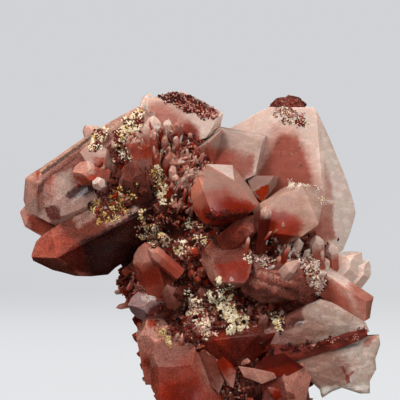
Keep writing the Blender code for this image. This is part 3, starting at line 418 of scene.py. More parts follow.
# Crystals whose flat faces all show: the convex outline, the front and the back that it lies between,
# the flat faces that cut it, each through three points, the ends of its long axis and its look.
CARVED = {
    # The long crystal that reaches out to the upper left, and the point beneath it.
    "long_left": Carved([(-51.6, 64.5), (-50.5, 65.4), (-48, 66.9), (-43, 70.4), (-37, 74.6), (-30.5, 78.6),
        (-23.5, 82.4), (-19.2, 81), (-18, 69), (-28, 59), (-39.2, 52), (-43.8, 52.5), (-50.5, 56),
        (-51.6, 57.5), (-52.1, 59)], -8.5, 12, [
        ((-46.5, -8, 63.7), (-42.8, -8.5, 54.5), (-26.7, -5.5, 71.4)),
        ((-46.5, -8, 63.7), (-30.4, -6, 74.4), (-39.2, 0, 73)),
        ((-47.5, -8.2, 64), (-47.7, -8.5, 57), (-51.7, -2, 61.5)),
        ((-48.1, 2, 66.9), (-30.6, 3, 78.7), (-35.8, 11, 71.6)),
        ((-51.7, 1, 64), (-52, 1, 58.2), (-48.4, 11, 61.5)),
        ((-42.3, -8.4, 55), (-32.9, -7, 58.5), (-37.9, -3, 52.5)),
        ((-43.8, 2, 52.5), (-33.1, 3, 56), (-38.3, 11, 59)),
    ], (-15.5, 5, 76), (-55.3, -2, 49.6), "long_left"),
    "long_left_under": Carved([(-51.7, 57.6), (-48, 59), (-39.2, 59), (-36.7, 54), (-43.7, 51), (-47.6, 50),
        (-52.5, 52.8), (-53, 56.1)], -7, 8, [
        ((-51.6, -5, 57.3), (-43.6, -6.5, 52.5), (-47.6, -3.5, 50.3)),
        ((-52.5, -1, 57), (-52.7, -1, 53.5), (-49, -6.5, 55.3)),
        ((-53, 0, 56), (-47.8, 0, 50), (-47, 7, 55.2)),
    ], (-25, 3, 73), (-53.6, -2, 54.6), "left_under"),
    # The dark prism below it.
    "left_prism": Carved([(-47.4, 50.1), (-48.8, 48.6), (-49.5, 46.6), (-49.9, 45.1), (-49.5, 43.8),
        (-48.8, 42.8), (-47.8, 42.2), (-42.8, 41.1), (-39.1, 40.1), (-35.1, 40), (-30.9, 40.4),
        (-29.1, 42.1), (-20.4, 47.6), (-16, 53.5), (-17.9, 60.2), (-22.9, 61.5), (-27.9, 60.5),
        (-39.1, 55.8), (-43.5, 52.8)], -17, 2, [
        ((-43.3, -15, 44.7), (-22.1, -13, 55.8), (-30.4, -6, 59.7)),
        ((-43.3, -15, 44.7), (-22.1, -13, 55.8), (-32.9, -5, 40.1)),
        ((-43.3, -15, 44.7), (-49.5, -8, 45.6), (-44.8, -7.5, 52)),
        ((-43.3, -15, 44.7), (-49.5, -8, 44.6), (-38.8, -7, 40.4)),
        ((-42.9, -4, 52.8), (-28, -3, 60.5), (-33, 2, 52.7)),
        ((-49.6, -5, 45.3), (-42.9, -3, 41), (-40.6, 2, 47.7)),
    ], (-18, -6, 57.7), (-50.4, -9, 41), "left_prism"),
    # The crystal at the top that points right, and the great one at the right.
    "top_right": Carved([(-21, 84.1), (-18, 85.4), (-14.3, 86.2), (-12.5, 86.3), (-10, 85.3), (-7.2, 83.8),
        (-4.7, 82.3), (-2.5, 81.2), (-2.2, 80.6), (-2.9, 77.3), (-5.5, 74.8), (-8.5, 73.8), (-13, 73.3),
        (-19.3, 75.3), (-21.8, 80.3)], -4, 11.6, [
        ((-17.2, -1.5, 83.7), (-3.5, -0.5, 79.7), (-10.5, 6, 85.6)),
        ((-17.2, -1.5, 83.7), (-3.5, -0.5, 79.7), (-11.7, -4, 74)),
        ((-3.5, -0.5, 79.7), (-6, -1.5, 74.5), (-2.5, 4, 78.6)),
        ((-8, 8, 84.2), (-2.5, 6, 80.4), (-4.2, 10, 76.6)),
    ], (-20.5, 6, 76.6), (-2, 4, 80), "top_right"),
    "great_right": Carved([(-0.2, 77.3), (2.1, 78.4), (4.6, 79.8), (7.1, 81.2), (9.6, 82.3), (20.5, 82.2),
        (22, 79.9), (24.7, 74.1), (28.5, 65), (30.5, 59), (31.2, 55.7), (29.8, 50.9), (27.8, 46.4),
        (23.5, 43.4), (9.6, 43.4), (2.1, 50.2), (-1.7, 64)], -4.5, 22, [
        ((9.5, 3, 82.1), (21.1, 2.5, 81), (22.7, -3.5, 49)),
        ((21.1, 2.5, 81), (22.7, -1.64, 59), (30.5, 8, 59)),
        ((22.7, -1.64, 59), (30.8, 8, 58), (27.1, 2, 47.7)), ((4.5, 4, 79.8), (0, 7, 77.1), (-1, 3, 64)),
        ((9.7, 15, 82.3), (20.6, 14, 82.3), (17.5, 22, 59)),
        ((21.3, 14, 81.3), (30.6, 12, 55.7), (25, 20, 59)),
        ((-0.2, 14, 77.2), (-0.9, 15, 59), (7.3, 22, 59)),
    ], (8.1, 9, 38.3), (23.9, 9, 85.4), "great_right"),
    # The three in front of them, and the small one between.
    "grey_point": Carved([(-8.5, 73.2), (-3, 77.4), (7.8, 75.5), (9.5, 74.8), (7.5, 69), (6.2, 65.5),
        (0.8, 62.8), (-6.8, 65.2)], -9, 9, [
        ((-2, -3, 75.7), (8, -3, 74.2), (2.5, 2, 76.5)), ((-2, -3, 75.7), (-5.5, -8, 67.7), (-8.3, 1, 73)),
        ((-2, -3, 75.7), (8, -3, 74.2), (-0.6, -8.5, 65.2)),
        ((7.7, -3, 74.2), (5.9, -7, 65.5), (9, 3, 74.3)),
    ], (-1, 3, 57), (4.6, -2, 80), "grey_point"),
    "front_point": Carved([(-6.4, 67.9), (0, 67.7), (4.1, 62.5), (6.8, 58), (6.1, 57.5), (3.1, 54.5),
        (-2.6, 52.6), (-6.8, 53.1), (-9, 55.3), (-10.2, 57.8), (-10.2, 61.5), (-8.7, 65.2)], -23, -2, [
        ((-6.4, -15, 67.9), (6.1, -15.5, 57.5), (-6.3, -20.5, 59)),
        ((-6.4, -15, 67.9), (0.4, -14.3, 63.8), (0.1, -8, 67.7)),
        ((0.4, -14.3, 63.8), (6.1, -15.5, 57.5), (0.1, -9, 67.7)),
        ((-8.5, -17.7, 65.2), (-6.3, -20.5, 59), (-10.2, -13, 57.8)),
        ((-7.3, -23.5, 54.6), (4.3, -17.3, 56), (-1.8, -14, 52.6)),
    ], (0.5, -4, 57), (-4, -26, 60), "front_point"),
    "cream_point": Carved([(4.9, 57), (9.3, 59.7), (11.8, 61.6), (14.3, 62.8), (18, 63), (20.5, 62.6),
        (21.9, 62), (22.7, 61.2), (22.7, 59.7), (22.2, 57.3), (21.7, 54.5), (21, 52.8), (17.5, 50.3),
        (13, 47.6), (8.8, 48.1), (6.4, 50.3)], -20, -4.3, [
        ((6.1, -12, 57.5), (21.2, -13, 61.5), (16.6, -17.5, 50.1)),
        ((16.7, -12.7, 62.2), (21.1, -16.4, 53.6), (22.8, -9.5, 59)),
        ((7.3, -12.2, 58.3), (18, -12.7, 62.2), (13.1, -8, 62.5)),
        ((16.6, -17.5, 50.1), (7.3, -15, 51.1), (11.8, -10, 47.6)),
    ], (5.2, -8, 48.4), (23.1, -15, 61), "cream_point"),
    "low_front": Carved([(-7, 46.6), (-7.8, 43.7), (-6.5, 41.2), (-5.5, 39), (-3.8, 37.2), (-1.1, 36.6),
        (1.9, 37.5), (3.9, 39.7), (4.9, 43.7), (4.4, 47.9), (1.9, 50.1), (-4.3, 50.1)], -20, -3.6, [
        ((-6.5, -18, 45.2), (4.3, -17, 45.4), (-1.1, -19, 37.3)),
        ((-6.5, -18, 45.2), (4.3, -17, 45.4), (-1.8, -10, 50.1)),
        ((-5.3, -18, 45.2), (-3.8, -18.5, 37.8), (-7.8, -13, 43.7)),
        ((-4.1, -18.6, 38.6), (1.8, -18.5, 38.6), (-1.1, -13, 36.2)),
    ], (4, -7, 50), (-7, -20, 40), "low_front"),
    "small_star": Carved([(3.4, 65), (11.6, 65), (10.9, 62.5), (7.4, 58.3), (4.9, 61)], -13, 0.4, [
        ((5.4, -11, 61.5), (9.3, -11, 63.5), (7.4, -10.5, 58.3)),
        ((5.4, -11, 61.5), (9.3, -11, 63.5), (4.4, -7, 65)),
        ((9.3, -11, 63.5), (7.9, -10.6, 59), (11.6, -7, 65)),
    ], (6, -4, 64), (7.6, -9, 58.2), "star"),
    "flat_left": Carved([(-37.9, 70.9), (-36.4, 72.4), (-33.6, 73.2), (-31.1, 71.7), (-29.4, 69),
        (-31.6, 66.7), (-35.4, 67.2)], -11, -2.4, [
        ((-37.1, -7.5, 70.2), (-31.3, -8.5, 70.9), (-32.8, -9.5, 67.2)),
        ((-31.3, -8.5, 70.9), (-31.8, -9.6, 67.2), (-29.4, -5, 69)),
    ], (-31, -2, 72), (-34, -9, 70), "flat"),
    # The prism over the slabs, and the dark wedge under them.
    "right_prism": Carved([(17.6, 43.6), (21.4, 44.3), (29.3, 39), (35.3, 34.9), (34.8, 33.1), (34.3, 29.6),
        (32.8, 28.8), (30.6, 29.1), (26.8, 31.4), (22.8, 34.4), (17.6, 38.1)], -11, -1.4, [
        ((22.3, -9.5, 41.4), (33.2, -9, 33.9), (28.1, -5, 39.8)),
        ((22.3, -9.5, 41.4), (33.2, -9, 33.9), (28, -7, 30.7)),
        ((33.2, -9, 33.9), (33.8, -6, 29.4), (35.6, -4.5, 34.1)),
        ((21.9, -3, 43.5), (35.4, -3, 34.6), (29.5, -1, 35.3)),
    ], (19.7, -5, 41), (39.4, -8, 28.2), "right_prism"),
    "low_wedge": Carved([(0.7, 18.7), (7.4, 21.2), (16.9, 21.2), (19.1, 18.7), (17.8, 14.8), (13.1, 13.3),
        (7.4, 14.5), (1.9, 16.3)], -13, -0.6, [
        ((1.9, -11, 17.9), (16.7, -12.5, 17.7), (9.4, -8, 21.3)),
        ((1.9, -11, 17.9), (16.7, -12.5, 17.7), (10.6, -8, 13.6)),
        ((16.2, -12.4, 17.9), (17.3, -8, 14.8), (19.1, -7, 18.7)),
    ], (4, -6, 16), (18.5, -14, 15.4), "wedge"),
    # The two at the lower front.
    "low_dark": Carved([(-7.3, 22.3), (-5, 24.8), (4.4, 27.7), (10.6, 26.5), (12.1, 22.3), (7.4, 18.8),
        (1.9, 18.3), (-2.5, 18.8), (-5.8, 20.3)], -16, 0.3, [
        ((-6.5, -13, 22.6), (8, -15, 23.7), (4.4, -10, 27.5)),
        ((-6.5, -13, 22.6), (8, -15, 23.7), (1.9, -10, 18.6)),
        ((7.3, -14.9, 23.4), (11.8, -11, 24.3), (9.8, -11, 19.9)),
    ], (7, -6, 26.5), (-8, -15, 22), "low_dark"),
    "low_left": Carved([(-20.4, 20.9), (-18.1, 23.1), (-14.2, 24.1), (-10.2, 23.4), (-6.5, 20.9),
        (-3.8, 15.4), (-2.1, 9), (-4.3, 5.5), (-16.7, 5.5), (-20.1, 13.2)], -20, 0.7, [
        ((-18.3, -17.5, 17.9), (-10, -17.5, 18.4), (-14.2, -11, 24.1)),
        ((-18.3, -17.5, 17.9), (-10, -17.5, 18.4), (-12.9, -19, 9.8)),
        ((-10, -17.5, 18.4), (-6.5, -18.5, 10.3), (-3.3, -11, 13.4)),
        ((-18.3, -17.5, 17.9), (-17.8, -18.7, 11), (-20.4, -12, 16.4)),
    ], (-2.6, -7, 0), (-13, -17, 24), "low_left"),
}

# Broken slabs, upright: the outline, the front and the back, the width of the chamfer along the rim,
# the roughness, a seed and the look. They get thinner by TAPER from TAPER_START to TAPER_END across.
# SLAB_BEVEL is the slope of the chamfer and SLAB_WAVES the pitch of the roughness.
TAPER_START = 20.0
TAPER_END = 37.0
TAPER = 0.45
SLAB_BEVEL = 0.6
SLAB_WAVES = 0.3
SLAB_SEED_STEP = Vector((7.7, 2.9, 13.1))
WAVER_STEPS = (Vector((0, 0, 0)), Vector((31.7, 0, 0)), Vector((0, 47.3, 0)))
SLABS = {
    "slab_upper": Slab([(6, 20), (7, 27), (16, 32), (22, 34.5), (26, 33), (33, 28.6), (34, 26.2),
        (30, 25.8), (20, 22.6), (10, 22.4)], -12, 0, 1.2, 0.5, 21, "slab"),
    "slab_lower": Slab([(12, 15), (14, 19), (22, 21.8), (30, 23.6), (33.5, 25.2), (36.4, 25.5), (36.6, 23),
        (35.4, 19.5), (35.8, 17), (34.2, 14), (34.4, 11), (31.5, 11.1), (27, 12.5), (24.8, 11.6),
        (22.4, 10), (21.8, 12), (19.5, 14.2), (15, 13.8)], -11, 0.5, 1, 0.5, 22, "slab"),
    "slab_seam": Slab([(7.5, 17), (9, 23.4), (20.7, 23.4), (29, 26.2), (33.4, 27), (33.6, 25.4),
        (28.2, 22.7), (22, 21), (14.5, 19)], -12.6, -1, 0.3, 0.2, 23, "seam"),
}

# Angular forms on the matrix of the show side. corners are (across, up, depth), across and up as
# they show at the depth of the origin; back is the depth that each form is sunk to.
SHARDS = {
    # The dark mass at the lower front is partly its own dark colour and partly painted shadow.
    "dark_mass_and_shadow": Shard([(-8, 22.8, -12.5), (-5, 25.8, -14), (-1, 27.2, -14), (7.5, 27.5, -13.5),
        (9, 23.5, -13), (7.5, 20.5, -13), (2, 15.8, -12.5), (-2, 16.5, -12.5), (-6, 20, -12.5),
        (-4.5, 24, -16.5), (6.5, 25.5, -16), (1, 19, -15.5)], -8, "dark_mass_and_shadow"),
    "pink_foot": Shard([(7.5, 13.8, -13), (13, 16, -15), (17.8, 18.5, -13.5), (19.8, 14.5, -12),
        (18.5, 9, -12), (7.5, 8.5, -14), (13, 8.8, -16)], -8, "low_right"),
    "pale_blade": Shard([(1.5, 17.5, -15), (5, 17, -16.5), (10.5, 15.8, -16), (11.2, 14.5, -15.5),
        (7.5, 13, -15.5), (3, 14.8, -15)], -12, "rose"),
    "dark_blade": Shard([(5, 16.5, -14), (8, 19.8, -15.5), (13, 20.8, -15.5), (18, 17.2, -14),
        (14, 15, -15), (7.5, 14.5, -15)], -11, "wedge"),
    "striated": Shard([(1, 42, -13), (6.5, 44.2, -14), (16, 43.5, -13.5), (21.5, 40, -12), (22, 36.5, -12),
        (17, 34, -14), (7.5, 33.2, -14.5), (2.5, 36, -14), (7.5, 41.5, -17.5), (17, 40, -16.5),
        (9.5, 35, -17)], -8, "striated"),
    "chip": Shard([(-13.5, 45.2, -13), (-11.5, 47.2, -14), (-8.8, 47.2, -14), (-8.2, 45.5, -13.5),
        (-10.5, 43.8, -13.5), (-12.8, 44, -13), (-10.8, 45.8, -16)], -10, "chip"),
    "grey_flank": Shard([(-9.2, 71.8, -5), (-2, 77.1, -7), (-5, 67, -8), (-8.5, 69, -6), (-5.8, 73.5, -9)],
        -3, "grey_point"),
}

# Lumps of matrix, fused on a grid of FUSING_GRID. Bumps are pairs of pitch and height; a lump's own
# are made on a ball of radius 1, in shares of its roughness.
FUSING_GRID = 0.6
LUMP_BUMPS = ((2.3, 1.0), (5.1, 0.5))
MATRIX_BUMPS = ((0.55, 0.5), (1.3, 0.35))
LUMP_SEED_STEP = Vector((11.3, 5.7, 3.1))
# The crust on the tip of the great crystal.
TIP_CRUST = Lump((14.4, 17, 82.4), (4.3, 4, 2.8), 1, 9)
LUMPS = [
    Lump((-14, 1, 63), (14, 12, 13), 2.2, 1),
    Lump((-26, -1, 60), (10, 9, 8.5), 1.6, 5),
    Lump((-25, 0, 70.5), (8, 8, 6.5), 1.2, 6),
    Lump((-2, 0, 46), (21, 13, 15), 2.4, 2),
    Lump((12, 1, 41), (14, 11, 13), 2.2, 7),
    Lump((-17, 1, 39), (11, 10, 9), 2, 8),
    Lump((-2, 0, 21), (18, 13, 24), 2, 3),
    Lump((7, 2, 8), (11, 11, 14), 1.6, 4),
    Lump((-4, 5, 4), (12, 10, 9), 1.4, 11),
    Lump((12, -4, 37.5), (8.5, 8, 5.5), 1.2, 10),
]

# Patches of small points, as the solid has them. They are set DRUSE_ROOT deep into the matrix; their
# widths are shares of the patch's size and their lengths are in widths; they lean outwards by up to
# DRUSE_LEAN at the patch's edge and stray from that by DRUSE_SWAY.
DRUSE_ROOT = 3.5
POINT_WIDTHS = (0.65, 1.25)
POINT_LENGTHS = (1.5, 3.4)
DRUSE_LEAN = 0.5
DRUSE_SWAY = 0.3
DRUSES = [
    Druse((-13.5, -9.5, 59.5), (-0.1, -1, 0.7), 3.6, 0.8, 7, 41, "rose"),
    Druse((-12.5, -8.5, 68.5), (0.1, -1, 1), 4, 0.8, 6, 42, "pink"),
    Druse((-21, -9, 51), (-0.2, -1, 0.2), 3.4, 0.9, 4, 43, "red"),
    Druse((-9, -11, 40), (-0.3, -1, 0.2), 5, 1.2, 7, 44, "red"),
    Druse((-9, -12, 31), (-0.2, -1, 0.1), 5, 1.3, 6, 45, "dark"),
    Druse((7, -13, 44), (0.2, -1, 0.5), 3.6, 1, 5, 46, "rose"),
    Druse((17, -9, 42), (0.4, -1, 0.4), 4, 1.3, 6, 47, "glass"),
    Druse((8, -11, 8), (0.2, -1, 0), 4.5, 1.4, 4, 48, "red"),
    Druse((-26, -2, 40), (-1, -0.3, 0), 3, 1, 4, 49, "red"),
    Druse((-26, -10, 64), (-0.2, -1, 0.6), 3.6, 0.9, 4, 50, "dark"),
    Druse((0, 13, 42), (0, 1, 0.2), 7, 1.6, 7, 51, "pink"),
    Druse((-14, 12, 58), (-0.3, 1, 0.2), 6, 1.5, 5, 52, "rose"),
    Druse((8, 12, 27), (0.4, 1, 0), 6, 1.5, 6, 53, "red"),
    Druse((-10, 12, 20), (-0.4, 1, 0), 6, 1.5, 6, 54, "rose"),
    Druse((-21, 3, 22), (-1, 0.4, 0.1), 4.5, 1.3, 4, 55, "red"),
    Druse((20, 4, 38), (1, 0.4, 0), 4, 1.3, 4, 56, "pink"),
]

# Small crystals on the show side. (x, z) is where the base shows and (top_x, top_z) where the top
# does, at the depth of the origin; out is how far the top stands out from what carries the base.
SHOOT_SEED = 6
SHOOT_ROOT = 1.2
SHOOTS = [
    # Glassy ones under the top crystal, and the reddish sheaf below them.
    Shoot(-21.2, 72.5, -21.5, 78.2, 1, 1.1, "glass"), Shoot(-18, 71.8, -18.2, 77.5, 0.7, 1.4, "ember"),
    Shoot(-16, 74.2, -16, 79.2, 0.9, 1.4, "glass"), Shoot(-15, 74.8, -15, 78, 0.6, 1.4, "glass"),
    Shoot(-13.5, 74.2, -13.2, 79.2, 1, 1.4, "ember"), Shoot(-12, 74.8, -12.2, 77.2, 0.6, 0.9, "ember"),
    Shoot(-14, 70.8, -14, 75, 1, 2, "frost"), Shoot(-17, 71, -16.8, 75.2, 1, 1.4, "frost"),
    Shoot(-16.2, 66, -15.8, 71, 1.5, 1.4, "rose"), Shoot(-13.8, 69, -10.8, 69.8, 0.8, 1.4, "frost"),
    Shoot(-10.5, 66, -8.8, 70.2, 0.6, 1.1, "frost"), Shoot(-11.5, 62.5, -10, 66.8, 0.7, 1.4, "frost"),
    Shoot(-14.5, 62.5, -15, 67.5, 1.3, 1.6, "frost"), Shoot(-12, 61.5, -11, 65, 0.8, 1.6, "frost"),
    Shoot(-12.8, 55.5, -11.5, 62, 0.7, 1.4, "ember"), Shoot(-11.2, 55.5, -10.2, 62.5, 0.6, 1.4, "ember"),
    Shoot(-14, 57.2, -13, 62.5, 0.6, 1.1, "dark"), Shoot(-16, 58.2, -15.2, 63.2, 0.8, 1.4, "ember"),
    Shoot(-9.8, 55, -9.2, 61.5, 0.6, 1.1, "dark"), Shoot(-10.5, 53, -10.2, 57, 0.7, 1.4, "rose"),
    Shoot(-8.2, 67, -7.2, 71, 0.6, 0.9, "rose"), Shoot(-10.2, 67.8, -11.5, 71, 0.6, 0.9, "rose"),
    Shoot(-20, 66.5, -19, 70.5, 0.8, 0.9, "ember"), Shoot(-18.8, 62.5, -18, 67.5, 0.8, 0.9, "dark"),
    Shoot(-20.5, 60, -20, 64, 1, 0.9, "dark"), Shoot(-8.5, 68.2, -9.2, 72.8, 0.6, 0.9, "ember"),
    Shoot(-15, 52.5, -17.5, 56, 1.3, 0.9, "dark"), Shoot(-12.2, 52.5, -13.5, 55.5, 1, 0.9, "dark"),
    # Around the block and the long crystal.
    Shoot(-28.8, 71, -29.8, 73.8, 1, 0.9, "pink"), Shoot(-31, 73, -32.2, 75.5, 0.9, 0.9, "frost"),
    Shoot(-27, 72.5, -26.2, 76, 1, 0.9, "pink"), Shoot(-30, 68, -31, 70.8, 0.8, 0.9, "rose"),
    Shoot(-27.8, 59.8, -26.8, 66, 1.2, 0.9, "mauve"), Shoot(-25.5, 59, -24.5, 63, 1, 0.9, "dark"),
    Shoot(-32, 66.5, -34, 69, 1, 1.1, "ember"), Shoot(-29, 65, -30, 68, 1, 0.9, "mauve"),
    # Between the cream crystal and the slabs.
    Shoot(2.8, 44.2, 4.2, 49.8, 0.6, 1.4, "frost"), Shoot(10.2, 47.2, 11, 53.8, 1, 1.4, "frost"),
    Shoot(9.2, 48.5, 9.5, 52.8, 0.5, 1.1, "dark"), Shoot(12.8, 43, 13.8, 47.5, 1.4, 1.6, "ember"),
    Shoot(15.2, 44.5, 17.2, 49.5, 1.4, 1.4, "glass"), Shoot(12.2, 50, 13, 53.5, 0.7, 0.9, "ember"),
    Shoot(5, 42, 9.8, 43, 0.6, 1.6, "ember"), Shoot(13.2, 40.5, 16.5, 44.2, 2.2, 3, "pink"),
    Shoot(10.2, 41.5, 12, 45, 1, 1.4, "rose"), Shoot(18, 42.5, 19.2, 47, 1, 1.4, "glass"),
    Shoot(20, 40, 21, 43.5, 1, 1.4, "frost"), Shoot(18.2, 38, 20, 41, 1, 1.4, "frost"),
    Shoot(22.5, 43.5, 22.5, 46.5, 0.8, 1.4, "glass"), Shoot(16.8, 46.5, 16, 49, 0.6, 1.1, "glass"),
    Shoot(-2, 47.5, 6, 54.5, 3.6, 1.6, "granular"),
    # Below the middle.
    Shoot(-3.2, 29.5, -2.8, 34.2, 1.5, 1.4, "dark"), Shoot(-7.2, 32.5, -7.5, 37.2, 1.4, 1.4, "mauve"),
    Shoot(-15, 33.2, -15.8, 38.5, 3.2, 1.6, "mauve"), Shoot(-15.5, 28.2, -11.8, 30.2, 0.6, 0.9, "pink"),
    Shoot(-10.5, 32.5, -10.8, 37, 1.1, 0.9, "dark"), Shoot(-11.5, 38.5, -10.5, 42, 0.9, 0.9, "dark"),
    Shoot(3.2, 28.5, 4.5, 32.5, 1.2, 0.9, "mauve"), Shoot(7.5, 27, 8, 30.5, 1.1, 0.9, "mauve"),
    Shoot(-8.8, 24.5, -6.8, 28.5, 1.4, 0.9, "rose"), Shoot(-1, 25.5, 0, 29, 1.3, 0.9, "dark"),
    Shoot(-18, 25.5, -16, 27.5, 1.1, 0.8, "rose"), Shoot(-12.8, 22.5, -12.2, 25.8, 1.1, 0.9, "frost"),
    Shoot(1.5, 15.5, 9, 13.5, 0.9, 0.8, "frost"), Shoot(0, 17.5, 4.5, 19, 1, 0.8, "rose"),
    Shoot(-7, 21, -2.5, 11, 2.2, 1.5, "mauve"), Shoot(-2.5, 19, 1, 12.5, 2.4, 1, "rose"),
    Shoot(5, 9.5, 7.5, 12.5, 2.2, 1, "dark"), Shoot(11.5, 10, 9.5, 12.5, 2, 1, "ember"),
    Shoot(14.5, 10, 14, 13.5, 2.4, 1, "rose"), Shoot(1.5, 9.5, 1, 12, 1.4, 0.8, "dark"),
]

# Sheaves of splinters on the show side: their feet lie along a line from start to end, seen at the
# depth of the origin, spread by width; they are about as long as length and point along lean. They
# stray from it by SPLINTER_STRAY, their lengths and widths vary, and a share of each is sunk.
SPLINTER_SEED = 12
SPLINTER_STRAY = 0.35
SPLINTER_LENGTHS = (0.5, 1.3)
SPLINTER_WIDTHS = (0.09, 0.2)
SPLINTER_SUNK = 0.25
SHEAVES = [
    Sheaf((-20, 75.5), (-12, 73.5), 1.8, 34, 2.6, (0, -0.5, 1), ("frost", "glass", "ember")),
    Sheaf((-18, 71), (-13, 70), 2.4, 44, 2.2, (0.1, -0.6, 1), ("frost", "ember", "rose")),
    Sheaf((-12, 72), (-7, 67.5), 1.6, 70, 1.6, (0.4, -0.8, 0.6), ("frost", "ember", "red")),
    Sheaf((-15, 67), (-9.5, 66), 1.8, 60, 2.2, (0.9, -0.5, 0.5), ("frost", "rose", "ember")),
    Sheaf((-16, 60), (-9.5, 64), 1.6, 60, 3.2, (0.7, -0.4, 1), ("ember", "rose", "frost", "frost")),
    Sheaf((-14.5, 56), (-10, 58), 1.4, 50, 3.2, (0.5, -0.4, 1), ("rose", "ember", "dark")),
    Sheaf((-21.5, 67), (-17, 58), 1.6, 40, 1.8, (-0.2, -0.7, 0.6), ("dark", "ember", "red")),
    Sheaf((-20, 54), (-12, 53), 1.6, 40, 1.8, (0, -0.8, 0.4), ("dark", "red", "ember")),
    Sheaf((-28, 77), (-22, 73), 1.4, 26, 1.6, (0, -0.7, 0.8), ("frost", "ember", "rose")),
    Sheaf((-12, 46), (-8, 40), 1.8, 40, 1.8, (0, -0.8, 0.3), ("red", "dark", "rose")),
    Sheaf((4, 45), (10, 43), 1.2, 60, 1.8, (0.4, -0.8, 0.5), ("frost", "ember", "glass", "ember")),
    Sheaf((9, 50), (16, 44), 1.6, 60, 2.4, (0.3, -0.6, 0.9), ("frost", "ember", "red", "glass")),
    Sheaf((15, 46), (22, 39), 1.8, 70, 2, (0.3, -0.7, 0.8), ("frost", "glass", "frost", "rose")),
    Sheaf((-19, 31), (-8, 33), 2.2, 60, 1.5, (0.1, -0.9, 0.3), ("mauve", "dark", "dark", "red")),
    Sheaf((-8, 34), (4, 27), 2.6, 70, 1.6, (0.1, -0.9, 0.3), ("dark", "mauve", "frost", "red")),
    Sheaf((2, 33), (12, 28), 2.2, 50, 1.6, (0.1, -0.9, 0.4), ("mauve", "dark", "rose")),
    Sheaf((-4, 14), (4, 11), 2, 40, 1.8, (0.2, -0.9, 0.2), ("red", "dark", "ember", "frost")),
    Sheaf((-2, 10), (8, 10), 1.4, 30, 1.6, (0, -0.9, 0.6), ("red", "dark", "rose")),
    Sheaf((-19, 27), (-10, 23), 1.6, 34, 1.6, (0, -0.9, 0.4), ("frost", "rose", "red")),
]

# Small crystals: how flat they are, how uneven their sides, how far each corner turns, how uneven
# their ends, and how low a shoulder may lie as a share of the length. Up to the shoulders they narrow
# to NEEDLE_TAPER of the width, and the point lies NEEDLE_POINT of it off the middle.
NEEDLE_FLATNESS = (0.55, 1.0)
NEEDLE_SIDES = (0.85, 1.1)
NEEDLE_TWIST = 0.12
NEEDLE_ENDS = (0.5, 1.5)
NEEDLE_LOWEST_SHOULDER = 0.25
NEEDLE_TAPER = 0.92
NEEDLE_POINT = 0.4
# How long the points of the small crystals are, in widths.
DRUSE_BLUNT = 1.1
SPLINTER_BLUNT = 1.4

# A place on the matrix is bare where nothing lies ahead from CLEAR_START to CLEAR_REACH beyond that,
# and it isn't used where it faces down more steeply than FACING_DOWN.
CLEAR_START = 0.3
CLEAR_REACH = 1.6
FACING_DOWN = -0.75
# Small crystals over the bare matrix, above DRUSE_LOWEST: how many places are tried, the share of
# each look, the share of places that are used on the show side, their shortest, longest and usual
# length, their width as a share of it, how much they lean and how deep they are set.
DRUSE_SEED = 3
DRUSE_TRIES = 2600
DRUSE_LOWEST = 1.5
DRUSE_LOOKS = {"rose": 3, "red": 6, "dark": 5, "pink": 1, "frost": 2, "ember": 3}
FRONT_SHARE = 0.4
DRUSE_LENGTHS = (1.4, 6.0, 2.0)
DRUSE_LENGTHS_IN_FRONT = (1.4, 4.0, 2.0)
DRUSE_WIDTHS = (0.1, 0.24)
DRUSE_WIDEST = 0.9
DRUSE_STRAY = 0.6
DRUSE_SUNK = 0.8

# Angular bits over the bare matrix: the smallest, largest and usual size, how flat they are each
# way, how far out of the matrix they stand, and their range of shades.
RUBBLE_SEED = 8
RUBBLE_TRIES = 7000
RUBBLE_LOOKS = {"dark": 6, "red": 5, "rose": 2, "mauve": 3, "frost": 1, "ember": 2}
CHUNK_SHAPES = 16
CHUNK_CORNERS = 10
CHUNK_RADII = (0.8, 1.1)
RUBBLE_SIZES = (0.25, 1.5, 0.5)
RUBBLE_FLATNESS = ((0.5, 1.0), (0.4, 0.9))
RUBBLE_OUT = (-0.1, 0.3)
RUBBLE_SHADES = (0, 9)

# Crust minerals: the colour, the shade and the roughness of their grains. Glint grains are partly small
# white crystals and partly painted glints.
GRAINS = {
    "gold": (srgb(206, 160, 84), srgb(150, 104, 44), 0.6),
    "straw": (srgb(236, 214, 160), srgb(206, 170, 100), 0.6),
    "white": (srgb(250, 238, 214), srgb(232, 210, 170), 0.5),
    "black": (BLACK_BROWN, DARK_BROWN, 0.45),
    "soot": (BLACK_BROWN, BLACK_BROWN, 0.7),
    "blood": (RED, DARK_RED, 0.4),
    "frost": (PALE_PINK, ROSE, 0.3),
    "glint": (WHITE, PALE_PINK, 0.12),
}
GOLDS = ("gold", "gold", "straw", "straw", "black", "soot", "soot", "blood")
PALES = ("straw", "white", "white", "white", "blood", "black", "blood")
SPECKLES = ("straw", "white", "frost", "black", "soot", "blood")
# Grains lie in clumps of one kind, spread by CLUMP_SPREAD, with a share of strays of other kinds.
# None lies deeper than CRUST_DEEPEST, and they stand out by GRAIN_OUT of their size.
CRUST_SEED = 5
CLUMP_GRAINS = (8, 30)
CLUMP_SPREAD = 0.38
CLUMP_STRAYS = 0.35
CRUST_DEEPEST = 8.0
GRAIN_SHAPES = 12
GRAIN_RADII = (0.7, 1.25)
GRAIN_SIZES = (0.5, 1.25)
GRAIN_OUT = 0.35
